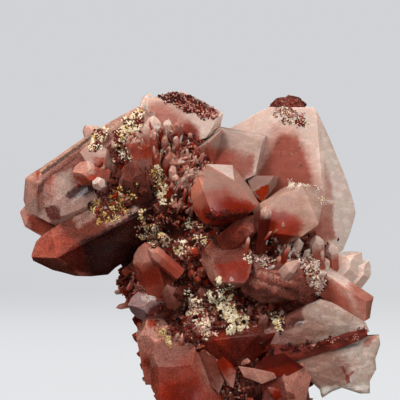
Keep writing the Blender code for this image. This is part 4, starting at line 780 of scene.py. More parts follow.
# Strokes of crust: each lies along a line from start to end, seen at the depth of the origin, spread
# by width, with grains of this size and these kinds.
CRUSTS = [
    # Along the ridge of the long crystal, and the crusted ground between it and the blocks.
    Stroke((-35, 72.2), (-32, 76.5), 1.2, 420, 0.28, PALES),
    Stroke((-29, 74.5), (-22.5, 80.5), 1.6, 1000, 0.3, PALES),
    Stroke((-28.5, 72.5), (-26.5, 69.5), 1.2, 320, 0.26, PALES),
    Stroke((-35, 56), (-24.5, 61), 2.2, 1000, 0.26, GOLDS),
    Stroke((-33, 53.5), (-26, 56), 1.2, 260, 0.24, GOLDS),
    Stroke((-22, 53.5), (-19, 49), 2.2, 800, 0.24, SPECKLES),
    Stroke((-19, 67.5), (-16.8, 57.8), 1.3, 620, 0.28, ("straw", "gold", "white", "black")),
    # The middle.
    Stroke((-17.5, 49.2), (-12, 47.5), 1, 520, 0.28, PALES),
    Stroke((-11.2, 54.2), (-8.2, 51.5), 1, 260, 0.26, PALES),
    Stroke((-9.8, 48.2), (-6, 49), 0.9, 180, 0.26, PALES),
    Stroke((-14, 46.5), (-13.2, 45.5), 0.5, 60, 0.28, ("straw", "white")),
    # Below the middle.
    Stroke((-3.5, 36.5), (2, 27.5), 2.4, 2000, 0.3, ("white", "white", "straw", "white", "white", "black")),
    Stroke((-10.5, 35), (-6, 26), 2, 1400, 0.26, ("white", "white", "frost", "blood")),
    Stroke((10, 31), (12.5, 27), 1, 260, 0.28, ("white", "straw", "black")),
    Stroke((-17.2, 26.2), (-15.5, 22.2), 0.9, 150, 0.26, ("gold", "white", "straw")),
    Stroke((18, 45), (22, 36.5), 1.8, 700, 0.3, ("glint", "glint", "frost", "white", "blood")),
    # The crust on the top crystal and below the one on the great crystal.
    Stroke((-16.5, 84.8), (-9, 82.5), 1.2, 1300, 0.28, ("black", "black", "blood", "soot", "frost")),
    Stroke((-12, 83), (-4.8, 80.3), 0.9, 1200, 0.26, ("blood", "blood", "frost", "black")),
    Stroke((12, 85), (17, 84), 1.6, 700, 0.24, ("blood", "black", "blood", "soot")),
    Stroke((11, 81.5), (17.5, 80.5), 1.2, 500, 0.18, ("blood", "frost", "frost", "blood", "white")),
    Stroke((12.5, 79.2), (18.5, 78), 0.7, 240, 0.18, ("blood", "blood", "white")),
    Stroke((12, 75), (18, 65), 2.6, 90, 0.1, ("frost", "blood")),
    # Glints along the edge of the cream crystal, and over the small crystals.
    Stroke((14, 62.8), (22.5, 61.8), 0.5, 260, 0.14, ("glint", "glint", "white")),
    Stroke((22, 61.5), (22.8, 57.5), 0.4, 60, 0.14, ("glint", "white")),
    Stroke((8.5, 21.5), (20.5, 22.5), 0.7, 300, 0.2, ("blood", "black", "soot")),
    Stroke((18, 21.9), (33, 26), 0.8, 500, 0.18, ("blood", "blood", "frost", "soot", "blood")),
    Stroke((-6.8, 55), (3.8, 55.6), 0.8, 500, 0.2, ("blood", "blood", "soot", "black")),
    Stroke((3, 44.5), (9.5, 43.5), 1.6, 220, 0.22, ("glint", "white", "blood")),
    Stroke((-23, 35.8), (-18.5, 34), 1.6, 50, 0.16, ("frost",)),
]

# The studio, in metres: a floor that curves up into a wall. It glows, a painted light that is
# palest towards PALE_SIDE, which is the floor and the right.
FLOOR_RADIUS = 1.9
CURVE_RADIUS = 0.8
CURVE_STEPS = 12
WALL_TOP = 2.4
WALL_SIDES = 96
PALE_SIDE = (0.35, -0.05, -1.0)
FLOOR_GLOW = 0.83
# The sky is brightest towards SKY_SIDE and darker on the other side.
SKY_SIDE = (-0.15, -0.35, 0.92)
SKY_DARK = 0.12
SKY_BRIGHT = 0.6
SKY_COLOUR = (1.0, 0.98, 0.97, 1.0)
# Lamps, aimed at LIGHT_TARGET: the place and the size in metres, the power in watts and whether the
# lamp shows in the gloss.
LIGHT_TARGET = (0, 0, 0.05)
LAMPS = [
    Lamp("key", (-0.5, -0.85, 1.05), (0.4, 0.4), 10, False),
    Lamp("sheen", (-0.25, -0.6, 1.3), (0.2, 0.3), 1.2, True),
    Lamp("glint_right", (0.6, -0.7, 0.9), (0.06, 0.06), 0.5, True),
    Lamp("glint_left", (-0.7, -0.9, 0.5), (0.06, 0.06), 0.5, True),
    Lamp("glint_low", (0.2, -1.1, 0.15), (0.06, 0.06), 0.4, True),
    Lamp("fill", (0.9, -1.0, 0.45), (0.7, 0.7), 7.5, False),
    Lamp("fill_left", (-0.9, -1.0, 0.15), (0.7, 0.7), 3.5, False),
    Lamp("top", (0.15, 0.35, 1.3), (0.8, 0.8), 5, False),
    Lamp("back_left", (-0.8, 0.9, 0.7), (0.7, 0.7), 8, False),
]


# ---------------------------------------------------------------- shapes

def axis_frame(foot, tip):
    """The long axis, the direction across it and the direction out of the front."""
    along = (Vector(tip) - Vector(foot)).normalized()
    across = along.cross(Vector((0, 1, 0))).normalized()
    towards = along.cross(across).normalized()
    return along, across, towards


def cut(mesh, point, outward):
    """Cuts away what lies beyond a plane and closes the cut with one flat face."""
    everything = mesh.verts[:] + mesh.edges[:] + mesh.faces[:]
    bmesh.ops.bisect_plane(mesh, geom=everything, dist=1e-7, plane_co=point,
                           plane_no=outward, clear_outer=True)
    rim = [edge for edge in mesh.edges if edge.is_boundary]
    if rim:
        bmesh.ops.holes_fill(mesh, edges=rim, sides=0)


def crystal_mesh(shape):
    """A block cut by six prism faces, six end faces, its chips and the plane that it rests on."""
    along, across, towards = axis_frame(shape.foot, shape.tip)
    foot = Vector(shape.foot)
    tip = Vector(shape.tip)
    mesh = bmesh.new()
    block = 4.0 * ((tip - foot).length + shape.width + shape.depth)
    bmesh.ops.create_cube(mesh, size=block, matrix=Matrix.Translation(tip))
    cut(mesh, foot, -along)
    for index, bite in enumerate(END_FACE_BITES):
        angle = math.radians(shape.turn) + index * FACE_STEP
        sideways = across * math.cos(angle) + towards * math.sin(angle)
        distance = math.hypot(shape.width * math.cos(angle), shape.depth * math.sin(angle))
        cut(mesh, foot + sideways * distance, sideways)
        leaning = sideways * math.cos(END_FACE_LEAN) + along * math.sin(END_FACE_LEAN)
        cut(mesh, tip - along * bite * shape.width, leaning)
    for place, outward in shape.chips:
        cut(mesh, Vector(place), Vector(outward).normalized())
    cut(mesh, Vector((0, 0, 0)), Vector((0, 0, -1)))
    bmesh.ops.recalc_face_normals(mesh, faces=mesh.faces[:])
    return mesh


def carved_mesh(shape):
    """A convex plate that stands upright, cut by its flat faces."""
    mesh = plate_mesh(shape.outline, shape.back - shape.front)
    mesh.transform(Matrix.Translation((0, (shape.front + shape.back) / 2, 0))
                   @ Matrix.Rotation(math.radians(90), 4, "X"))
    middle = sum((vert.co for vert in mesh.verts), Vector()) / len(mesh.verts)
    for corners in shape.faces:
        first, second, third = (Vector(corner) for corner in corners)
        outward = (second - first).cross(third - first).normalized()
        if outward.dot(first - middle) < 0:
            outward.negate()
        cut(mesh, first, outward)
    bmesh.ops.remove_doubles(mesh, verts=mesh.verts[:], dist=SHORT_EDGE)
    bmesh.ops.recalc_face_normals(mesh, faces=mesh.faces[:])
    return mesh


def soften(mesh, width):
    """Rounds every edge a little and marks the bevelled faces, which the material lightens as a painted
    highlight.
    """
    layer = mesh.faces.layers.float.new("edge")
    made = bmesh.ops.bevel(mesh, geom=mesh.edges[:], offset=width, segments=2, profile=0.6,
                           affect="EDGES", clamp_overlap=True)
    for face in made["faces"]:
        face[layer] = 1.0


def store_local(mesh, shape):
    """Writes each point's place in the crystal's own frame: across, towards, back from the tip."""
    along, across, towards = axis_frame(shape.foot, shape.tip)
    layer = mesh.verts.layers.float_vector.new("local")
    prism = mesh.faces.layers.float.new("prism")
    for vert in mesh.verts:
        place = vert.co - Vector(shape.tip)
        vert[layer] = (place.dot(across), place.dot(towards), -place.dot(along))
    for face in mesh.faces:
        face[prism] = 1.0 if abs(face.normal.dot(along)) < PRISM_LEAN else 0.0


def druse_crystals(druse):
    """Small points that stand on a patch of matrix and lean away from its middle."""
    draw = random.Random(druse.seed)
    outward = Vector(druse.outward).normalized()
    sideways = outward.cross(Vector((0, 0, 1))).normalized()
    upwards = sideways.cross(outward)
    for _ in range(druse.count):
        bearing = draw.uniform(0, math.tau)
        distance = druse.spread * math.sqrt(draw.random())
        spread = sideways * math.cos(bearing) + upwards * math.sin(bearing)
        width = druse.size * draw.uniform(*POINT_WIDTHS)
        lean = DRUSE_LEAN * distance / druse.spread + draw.uniform(-DRUSE_SWAY, DRUSE_SWAY)
        direction = (outward + spread * lean).normalized()
        root = Vector(druse.centre) + spread * distance - outward * DRUSE_ROOT
        length = DRUSE_ROOT + width * draw.uniform(*POINT_LENGTHS)
        turn = draw.uniform(0, 360 / PRISM_FACES)
        yield Crystal(root, root + direction * length, width, width, turn, druse.look)


def bumps(place, rows, shift=Vector()):
    """The height at a place of noise of some pitches and heights."""
    return sum(noise.noise(place * pitch + shift) * height for pitch, height in rows)


def lump_mesh(shape, detail=5):
    """A rough rounded lump of matrix."""
    mesh = bmesh.new()
    bmesh.ops.create_icosphere(mesh, subdivisions=detail, radius=1.0)
    shift = LUMP_SEED_STEP * shape.seed
    for vert in mesh.verts:
        bump = bumps(vert.co, LUMP_BUMPS, shift)
        place = Vector(a * b for a, b in zip(vert.co, shape.radii))
        vert.co = Vector(shape.centre) + place + vert.co * bump * shape.roughness
    return mesh


def plate_mesh(outline, thickness):
    """A flat plate with the outline given, lying in the XY plane and centred on it."""
    curve = bpy.data.curves.new("plate", "CURVE")
    curve.dimensions = "2D"
    curve.fill_mode = "BOTH"
    curve.extrude = thickness / 2
    spline = curve.splines.new("POLY")
    spline.points.add(len(outline) - 1)
    for point, corner in zip(spline.points, outline):
        point.co = (*corner, 0.0, 1.0)
    spline.use_cyclic_u = True
    guide = in_scene("plate", curve)
    flat = as_evaluated(guide)
    mesh = bmesh.new()
    mesh.from_mesh(flat)
    bpy.data.objects.remove(guide)
    bpy.data.curves.remove(curve)
    bpy.data.meshes.remove(flat)
    bmesh.ops.remove_doubles(mesh, verts=mesh.verts[:], dist=1e-4)
    bmesh.ops.dissolve_limit(mesh, angle_limit=0.02, verts=mesh.verts[:], edges=mesh.edges[:])
    return mesh


def waver(place):
    """A smooth shift that differs in each direction, the same at the same place."""
    return Vector(noise.noise(place + step) for step in WAVER_STEPS)


def slab_mesh(shape):
    """A broken slab that stands upright, with a chipped rim, thinner towards its outer end."""
    mesh = plate_mesh(shape.outline, shape.back - shape.front)
    sides = [face for face in mesh.faces if abs(face.normal.z) > 0.9]
    bmesh.ops.inset_region(mesh, faces=sides, thickness=shape.rim, depth=shape.rim * SLAB_BEVEL)
    mesh.transform(Matrix.Rotation(math.radians(90), 4, "X"))
    bmesh.ops.triangulate(mesh, faces=mesh.faces[:])
    middle = (shape.back + shape.front) / 2
    shift = SLAB_SEED_STEP * shape.seed
    for vert in mesh.verts:
        outwards = (vert.co.x - TAPER_START) / (TAPER_END - TAPER_START)
        vert.co.y *= 1 - TAPER * min(1.0, max(0.0, outwards))
        vert.co.y += middle
        vert.co += waver(vert.co * SLAB_WAVES + shift) * shape.roughness
    bmesh.ops.recalc_face_normals(mesh, faces=mesh.faces[:])
    return mesh


def hull_mesh(points):
    """The convex hull of some points, with no loose points left inside it."""
    mesh = bmesh.new()
    for point in points:
        mesh.verts.new(point)
    hull = bmesh.ops.convex_hull(mesh, input=mesh.verts[:])
    inner = [part for part in hull["geom_interior"] if isinstance(part, bmesh.types.BMVert)]
    bmesh.ops.delete(mesh, geom=inner, context="VERTS")
    return mesh


def shard_mesh(shape):
    """An angular form: the hull of its corners and of their places at the depth it is sunk to."""
    points = []
    for x, z, depth in shape.corners:
        for y in (depth, shape.back):
            across, up = true_place(x, z, y)
            points.append((across, y, up))
    return hull_mesh(points)


def in_scene(name, data):
    """A new object with this data, linked to the scene."""
    made = bpy.data.objects.new(name, data)
    bpy.context.scene.collection.objects.link(made)
    return made


def as_evaluated(thing):
    """A new mesh of an object with its modifiers or its curve's thickness."""
    depsgraph = bpy.context.evaluated_depsgraph_get()
    return bpy.data.meshes.new_from_object(thing.evaluated_get(depsgraph))


def as_data(name, mesh):
    """Turns a bmesh into mesh data."""
    data = bpy.data.meshes.new(name)
    mesh.to_mesh(data)
    mesh.free()
    return data


def ridden(name, data, material):
    """A mesh in metres as a piece of the cluster."""
    data.materials.append(material)
    made = in_scene(name, data)
    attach(made, "root")
    return made


def piece(name, mesh, material, smooth=False):
    """Turns a bmesh in millimetres into a piece of the cluster in metres."""
    mesh.transform(Matrix.Scale(MM, 4))
    data = as_data(name, mesh)
    if smooth:
        data.shade_smooth()
    return ridden(name, data, material)


# ---------------------------------------------------------------- materials

class Tree:
    """A material's nodes, with short names for the ones that are used over and over."""

    def __init__(self, name):
        self.material = bpy.data.materials.new(name)
        self.material.use_nodes = True
        self.nodes = self.material.node_tree.nodes
        self.links = self.material.node_tree.links
        self.inputs = self.nodes["Principled BSDF"].inputs

    def put(self, socket, value):
        """Links a socket to another, or sets it to a plain value."""
        if isinstance(value, bpy.types.NodeSocket):
            self.links.new(value, socket)
        else:
            socket.default_value = value

    def surface(self, values):
        """Sets or links the shader's own sockets."""
        for name, value in values.items():
            self.put(self.inputs[name], value)

    def add(self, kind, **settings):
        node = self.nodes.new(kind)
        for name, value in settings.items():
            setattr(node, name, value)
        return node

    def math(self, operation, *values):
        node = self.add("ShaderNodeMath", operation=operation)
        for socket, value in zip(node.inputs, values):
            self.put(socket, value)
        return node.outputs[0]

    def times(self, first, second):
        return self.math("MULTIPLY", first, second)

    def plus(self, first, second):
        return self.math("ADD", first, second)

    def vector(self, operation, *values):
        node = self.add("ShaderNodeVectorMath", operation=operation)
        for socket, value in zip(node.inputs, values):
            self.put(socket, value)
        return node.outputs["Value" if operation == "DOT_PRODUCT" else "Vector"]

    def noise(self, place, scale, detail=3.0, rough=0.55, distortion=0.0, output="Fac"):
        node = self.add("ShaderNodeTexNoise")
        for name, value in zip(("Vector", "Scale", "Detail", "Roughness", "Distortion"),
                               (place, scale, detail, rough, distortion)):
            self.put(node.inputs[name], value)
        return node.outputs[output]

    def shifted(self, base, place, pitch, reach):
        """A place, moved by soft noise of this pitch, each way by up to half this reach."""
        cloud = self.vector("SUBTRACT", self.noise(place, pitch, 3.0, 0.6, output="Color"), (0.5,) * 3)
        return self.vector("ADD", base, self.vector("MULTIPLY", cloud, (reach,) * 3))

    def fade(self, value, start, end, low=0.0, high=1.0, kind="SMOOTHSTEP"):
        node = self.add("ShaderNodeMapRange", interpolation_type=kind)
        for name, given in zip(("Value", "From Min", "From Max", "To Min", "To Max"),
                               (value, start, end, low, high)):
            self.put(node.inputs[name], given)
        return node.outputs["Result"]

    def mix(self, factor, first, second, blend="MIX"):
        node = self.add("ShaderNodeMix", data_type="RGBA", blend_type=blend)
        self.put(node.inputs[0], factor)
        self.put(node.inputs[6], first)
        self.put(node.inputs[7], second)
        return node.outputs[2]

    def bump(self, height, strength, distance):
        node = self.add("ShaderNodeBump")
        for name, value in (("Strength", strength), ("Distance", distance), ("Height", height)):
            self.put(node.inputs[name], value)
        return node.outputs["Normal"]

    def attribute(self, name, output="Fac"):
        return self.add("ShaderNodeAttribute", attribute_name=name).outputs[output]

    def object_place(self):
        return self.add("ShaderNodeTexCoord").outputs["Object"]

    def model_place(self):
        """The place on the specimen, in millimetres."""
        return self.vector("MULTIPLY", self.object_place(), (1 / MM,) * 3)


def quartz_material(name, style):
    """Stained quartz: two colours that fade into each other along the crystal, cloudy unevenness,
    stains, a few of them painted light and shade, fine lines across the prism faces and edges lightened
    by a painted highlight."""
    tree = Tree(name)
    place = tree.model_place()
    local = tree.attribute("local", "Vector")
    parts = tree.add("ShaderNodeSeparateXYZ")
    tree.put(parts.inputs[0], local)
    rippled = tree.shifted(place, place, *SHORT_WAVES)
    warped = tree.shifted(rippled, place, *LONG_WAVES)
    reach = tree.plus(parts.outputs[2], tree.times(tree.noise(place, 0.3, 4.0), FADE_UNEVEN))
    start, end = (edge + FADE_UNEVEN / 2 for edge in style.fade)
    colour = tree.mix(tree.fade(reach, start, end), style.tip, style.foot)
    for mark in style.stains:
        border = warped if mark.soft > CRISP else rippled if mark.soft > SHARP else place
        colour = stained(tree, colour, border, mark)
    uneven = tree.plus(tree.times(tree.noise(place, 2.0, 4.0, 0.7), 0.6),
                       tree.times(tree.noise(place, 0.4, 3.0, 0.6), 0.4))
    shade = tree.fade(uneven, 0.36, 0.64, 1.0 - 1.2 * style.mottle, 1.0 + style.mottle, "LINEAR")
    colour = flecked(tree, tree.mix(1.0, colour, shade, "MULTIPLY"), place, style)
    # Painted highlight: the marked edge faces are lightened by the edge tint.
    edge_highlight = tree.times(tree.attribute("edge"), EDGE_LIGHT)
    gloss = style.gloss
    tree.surface({
        "Base Color": tree.mix(edge_highlight, colour, EDGE_HIGHLIGHT_TINT, "MULTIPLY"),
        "Roughness": tree.fade(tree.noise(place, 2.5, 2.0), 0.3, 0.7, gloss * 0.7, gloss * 1.5),
        "Normal": quartz_relief(tree, place, local, style),
        "IOR": 1.54,
        "Subsurface Weight": 0.6,
        "Subsurface Radius": (1.0, 0.4, 0.25),
        "Subsurface Scale": 0.002,
        "Transmission Weight": style.clear,
        "Coat Weight": 0.1,
        "Coat Roughness": 0.05,
    })
    return tree.material


def stained(tree, colour, place, mark):
    """Lays one patch over a colour, by how far a point lies inside the nearest of its sides."""
    corners = [Vector((x, 0.0, z)) for x, z in mark.corners]
    middle = sum(corners, Vector()) / len(corners)
    inside = FAR_INSIDE
    for start, end in zip(corners, corners[1:] + corners[:1]):
        inward = (end - start).cross(Vector((0, 1, 0))).normalized()
        if inward.dot(middle - start) < 0:
            inward.negate()
        reach = tree.math("SUBTRACT", tree.vector("DOT_PRODUCT", place, inward), inward.dot(start))
        inside = tree.math("MINIMUM", reach, inside)
    factor = tree.fade(inside, -mark.soft, mark.soft, 0.0, mark.strength)
    if mark.soft < SKIN_SOFT:
        behind = tree.vector("DOT_PRODUCT", place, (0.0, 1.0, 0.0))
        factor = tree.times(factor, tree.fade(behind, mark.depth + SKIN, mark.depth + 1.5 * SKIN, 1.0, 0.0))
    return tree.mix(factor, colour, mark.colour)


def flecked(tree, colour, place, style):
    """Red grains in clouds, and milky veils, as they hang inside stained quartz."""
    grain = tree.fade(tree.noise(place, 2.6, 2.0, 0.5), 0.54, 0.66)
    cloud = tree.fade(tree.noise(place, 0.35, 2.0, 0.5), 0.4, 0.62)
    colour = tree.mix(tree.times(grain, tree.times(cloud, 2.2 * style.mottle)), colour, DARK_RED)
    wisp = tree.noise(tree.vector("MULTIPLY", place, (1.0, 1.0, 2.5)), 0.25, 5.0, 0.65)
    return tree.mix(tree.fade(wisp, 0.46, 0.62, 0.0, style.veils), colour, VEIL, "MULTIPLY")


def quartz_relief(tree, place, local, style):
    """Bump: lines across the prism faces, pits and a shallow swell everywhere."""
    stretched = tree.vector("MULTIPLY", local, (0.12, 0.12, 2.2))
    lines = tree.times(tree.noise(stretched, 1.0, 4.0, 0.7), tree.attribute("prism"))
    pits = tree.noise(place, 1.1, 4.0, 0.6)
    swell = tree.noise(place, 0.28, 3.0, 0.45, 0.6)
    height = tree.plus(tree.times(lines, style.lines), tree.times(pits, 0.35))
    return tree.bump(tree.plus(height, tree.times(swell, style.waves)), 0.5, 0.35 * MM)


def matrix_material():
    """Rough matrix: red-brown, mottled down to single grains, with pale veins and painted shade that darkens
    its hollows.
    """
    tree = Tree("matrix")
    place = tree.model_place()
    fine = tree.noise(place, 1.4, 5.0, 0.7)
    colour = tree.mix(tree.fade(tree.noise(place, 0.25, 4.0, 0.6), 0.38, 0.6), DARK_RED, RUST)
    colour = tree.mix(tree.fade(fine, 0.52, 0.42), colour, BLACK_BROWN)
    pale = tree.times(tree.fade(tree.noise(place, 1.1, 3.0, 0.6), 0.52, 0.64),
                      tree.fade(tree.noise(place, 0.2, 2.0), 0.4, 0.6, 0.2, 0.9))
    colour = tree.mix(pale, colour, ROSE)
    colour = tree.mix(tree.fade(tree.noise(place, 1.9, 3.0, 0.6), 0.6, 0.68), colour, PALE_PINK)
    # Painted shade: where pointiness says the surface is hollow, the colour darkens to black-brown.
    painted_hollow_shade = tree.add("ShaderNodeNewGeometry").outputs["Pointiness"]
    tree.surface({
        "Base Color": tree.mix(tree.fade(painted_hollow_shade, 0.47, 0.42), colour, BLACK_BROWN),
        "Roughness": tree.fade(fine, 0.3, 0.7, 0.75, 0.45),
        "Normal": tree.bump(fine, 0.7, 0.4 * MM),
    })
    return tree.material


def grain_material(name, colour, shade, rough):
    """Small grains of one crust mineral, uneven from grain to grain."""
    tree = Tree(name)
    blotch = tree.noise(tree.model_place(), 0.9, 3.0, 0.6)
    tree.surface({
        "Base Color": tree.mix(tree.fade(blotch, 0.35, 0.65), shade, colour),
        "Roughness": tree.fade(blotch, 0.3, 0.7, rough, rough * 0.6),
    })
    return tree.material


# ---------------------------------------------------------------- the large forms

def build_crystals():
    """The crystals and the small points of the solid, which share a material for each look."""
    materials = {}
    shapes = dict(CRYSTALS)
    for druse in DRUSES:
        for index, shape in enumerate(druse_crystals(druse)):
            shapes[f"point_{druse.seed}_{index}"] = shape
    for name, shape in shapes.items():
        if shape.look not in materials:
            materials[shape.look] = quartz_material("quartz_" + shape.look, LOOKS[shape.look])
        mesh = crystal_mesh(shape)
        soften(mesh, min(SMALL_EDGE_WIDEST, SMALL_EDGE_SHARE * shape.width + SMALL_EDGE))
        store_local(mesh, shape)
        piece(name, mesh, materials[shape.look])


def build_carved():
    for name, shape in CARVED.items():
        mesh = carved_mesh(shape)
        soften(mesh, EDGE_WIDTH)
        store_local(mesh, shape)
        piece(name, mesh, quartz_material("quartz_" + name, LOOKS[shape.look]))


def build_slabs():
    for name, shape in SLABS.items():
        piece(name, slab_mesh(shape), quartz_material("quartz_" + name, LOOKS[shape.look]), smooth=True)


def build_shards():
    for name, shape in SHARDS.items():
        mesh = shard_mesh(shape)
        soften(mesh, EDGE_WIDTH)
        piece(name, mesh, quartz_material("quartz_shard_" + name, LOOKS[shape.look]))


def build_matrix():
    """The lumps, fused on a fine grid and roughened. It stands for the whole solid."""
    mesh = bmesh.new()
    for shape in LUMPS:
        data = as_data("lump", lump_mesh(shape))
        mesh.from_mesh(data)
        bpy.data.meshes.remove(data)
    made = piece("matrix", mesh, matrix_material())
    remesh = made.modifiers.new("fuse", "REMESH")
    remesh.mode = "VOXEL"
    remesh.voxel_size = FUSING_GRID * MM
    fused = as_evaluated(made)
    made.modifiers.clear()
    made.data = fused
    grown = bmesh.new()
    grown.from_mesh(fused)
    grown.normal_update()
    for vert in grown.verts:
        vert.co += vert.normal * bumps(vert.co / MM, MATRIX_BUMPS) * MM
        vert.co.z = max(vert.co.z, 0.0)
    grown.to_mesh(fused)
    grown.free()
    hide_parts(NODE)
    return made


# ---------------------------------------------------------------- the small forms

def whole_surface():
    """Everything made so far, as one tree in millimetres that rays can be cast at."""
    points = []
    faces = []
    for thing in bpy.context.scene.collection.objects:
        if thing.type != "MESH" or thing.name == NODE:
            continue
        first = len(points)
        points += [vert.co / MM for vert in thing.data.vertices]
        faces += [[first + index for index in face.vertices] for face in thing.data.polygons]
    return BVHTree.FromPolygons(points, faces)


def seen_at(surface, x, z):
    """Where the camera's ray through (x, z), at the origin's depth, meets the specimen."""
    ray = (Vector((x, 0.0, z)) - CAMERA_PLACE).normalized()
    place, normal, _, _ = surface.ray_cast(CAMERA_PLACE, ray)
    return place, normal


def spot_on(dice, start, end, width):
    """A place near the line from start to end, usually within half the width of it."""
    along = Vector(start).lerp(Vector(end), dice.random())
    return along + Vector((dice.gauss(0, 0.5), dice.gauss(0, 0.5))) * width


def any_way(dice):
    """A random vector, with no direction likelier than another."""
    return Vector((dice.gauss(0, 1), dice.gauss(0, 1), dice.gauss(0, 1)))


def any_turn(dice):
    return dice.uniform(0, math.tau)


def points_and_faces(mesh):
    """Takes a bmesh apart into its points and its faces, as numbers of points."""
    mesh.verts.index_update()
    points = [vert.co.copy() for vert in mesh.verts]
    faces = [[vert.index for vert in face.verts] for face in mesh.faces]
    mesh.free()
    return points, faces


class Pile:
    """Gathers the points and faces of many small forms, to make one piece of them."""

    def __init__(self):
        self.points = []
        self.faces = []
        self.local = []

    def drop(self, points, faces, local=None):
        first = len(self.points)
        self.points += points
        self.faces += [[first + index for index in face] for face in faces]
        self.local += local or [(0.0, 0.0, 0.0)] * len(points)

    def settle(self, name, material):
        data = bpy.data.meshes.new(name)
        data.from_pydata([point * MM for point in self.points], [], self.faces)
        layer = data.attributes.new("local", "FLOAT_VECTOR", "POINT")
        layer.data.foreach_set("vector", np.array(self.local, dtype=np.float32).ravel())
        ridden(name, data, material)


def settle_quartz(piles, family):
    """Makes a piece of each pile of small crystals, which are kept by look."""
    for look, pile in piles.items():
        name = f"{family}_{look}"
        pile.settle(name, quartz_material(name, LOOKS[look]))


def by_share(shares):
    """Each kind as many times as its share says."""
    return [kind for kind, share in shares.items() for _ in range(share)]


def grain_shape(dice):
    """An uneven little grain of radius 1, as its points and faces."""
    mesh = bmesh.new()
    bmesh.ops.create_icosphere(mesh, subdivisions=1, radius=1.0)
    for vert in mesh.verts:
        vert.co *= dice.uniform(*GRAIN_RADII)
    return points_and_faces(mesh)


def chunk_shape(dice):
    """An angular broken piece of radius 1, as its points and faces."""
    return points_and_faces(hull_mesh(any_way(dice).normalized() * dice.uniform(*CHUNK_RADII)
                                      for _ in range(CHUNK_CORNERS)))


def needle(foot, tip, width, blunt, dice):
    """A small six-sided crystal, a little flattened and uneven, with its point off the middle: its
    points, faces and places from the tip. blunt is how long the point is, in widths."""
    along = (tip - foot).normalized()
    across = Matrix.Rotation(any_turn(dice), 3, along) @ along.orthogonal().normalized()
    towards = along.cross(across) * dice.uniform(*NEEDLE_FLATNESS)
    length = (tip - foot).length
    ring = []
    for k in range(PRISM_FACES):
        angle = k * FACE_STEP + dice.gauss(0, NEEDLE_TWIST)
        side = across * math.cos(angle) + towards * math.sin(angle)
        ring.append(side * width * dice.uniform(*NEEDLE_SIDES))
    shoulders = [max(NEEDLE_LOWEST_SHOULDER, 1.0 - blunt * dice.uniform(*NEEDLE_ENDS) * width / length)
                 for _ in ring]
    points = [foot + side for side in ring]
    points += [foot.lerp(tip, shoulder) + side * NEEDLE_TAPER for shoulder, side in zip(shoulders, ring)]
    points.append(tip + dice.choice(ring) * NEEDLE_POINT)
    faces = [[k, (k + 1) % 6, 6 + (k + 1) % 6, 6 + k] for k in range(PRISM_FACES)]
    faces += [[6 + k, 6 + (k + 1) % 6, 12] for k in range(PRISM_FACES)]
    faces.append([5, 4, 3, 2, 1, 0])
    local = [(0.0, 0.0, (tip - point).dot(along)) for point in points]
    return points, faces, local


def plant_shoots(surface):
    """The small crystals of the show side, each on what carries it."""
    dice = random.Random(SHOOT_SEED)
    piles = {shoot.look: Pile() for shoot in SHOOTS}
    for shoot in SHOOTS:
        place, _ = seen_at(surface, shoot.x, shoot.z)
        if place is None:
            continue
        depth = place.y - shoot.out
        across, up = true_place(shoot.top_x, shoot.top_z, depth)
        foot = place + Vector((0, SHOOT_ROOT, 0))
        form = needle(foot, Vector((across, depth, up)), shoot.width, DRUSE_BLUNT, dice)
        piles[shoot.look].drop(*form)
    settle_quartz(piles, "shoot")


def spread_splinters(surface):
    """The sheaves, each splinter standing on what shows at its foot."""
    dice = random.Random(SPLINTER_SEED)
    piles = {}
    for sheaf in SHEAVES:
        for _ in range(sheaf.count):
            place, _ = seen_at(surface, *spot_on(dice, sheaf.start, sheaf.end, sheaf.width))
            if place is None or place.y > CRUST_DEEPEST:
                continue
            heading = (Vector(sheaf.lean).normalized() + any_way(dice) * SPLINTER_STRAY).normalized()
            length = sheaf.length * dice.uniform(*SPLINTER_LENGTHS)
            foot = place - heading * length * SPLINTER_SUNK
            width = length * dice.uniform(*SPLINTER_WIDTHS)
            form = needle(foot, foot + heading * length, width, SPLINTER_BLUNT, dice)
            piles.setdefault(dice.choice(sheaf.looks), Pile()).drop(*form)
    settle_quartz(piles, "splinters")


def bare_places(surface, matrix, tries, seed):
    """Places on the matrix with nothing close in front of them, and the way out from each."""
    data = matrix.data
    areas = np.empty(len(data.polygons))
    data.polygons.foreach_get("area", areas)
    for index in np.random.default_rng(seed).choice(len(areas), tries, p=areas / areas.sum()):
        face = data.polygons[index]
        place = face.center / MM
        normal = Vector(face.normal)
        if place.z < DRUSE_LOWEST or normal.z < FACING_DOWN:
            continue
        if surface.ray_cast(place + normal * CLEAR_START, normal, CLEAR_REACH)[0] is None:
            yield place, normal


def grow_druse(surface, matrix):
    """Small crystals over the bare matrix, all the way round, fewer and smaller on the show side."""
    dice = random.Random(DRUSE_SEED)
    piles = {look: Pile() for look in DRUSE_LOOKS}
    kinds = by_share(DRUSE_LOOKS)
    for place, normal in bare_places(surface, matrix, DRUSE_TRIES, DRUSE_SEED):
        in_front = normal.y < 0
        if in_front and dice.random() > FRONT_SHARE:
            continue
        length = dice.triangular(*(DRUSE_LENGTHS_IN_FRONT if in_front else DRUSE_LENGTHS))
        width = min(DRUSE_WIDEST, length * dice.uniform(*DRUSE_WIDTHS))
        heading = (normal + any_way(dice) * DRUSE_STRAY).normalized()
        foot = place - heading * DRUSE_SUNK
        form = needle(foot, foot + heading * length, width, DRUSE_BLUNT, dice)
        piles[dice.choice(kinds)].drop(*form)
    settle_quartz(piles, "druse")


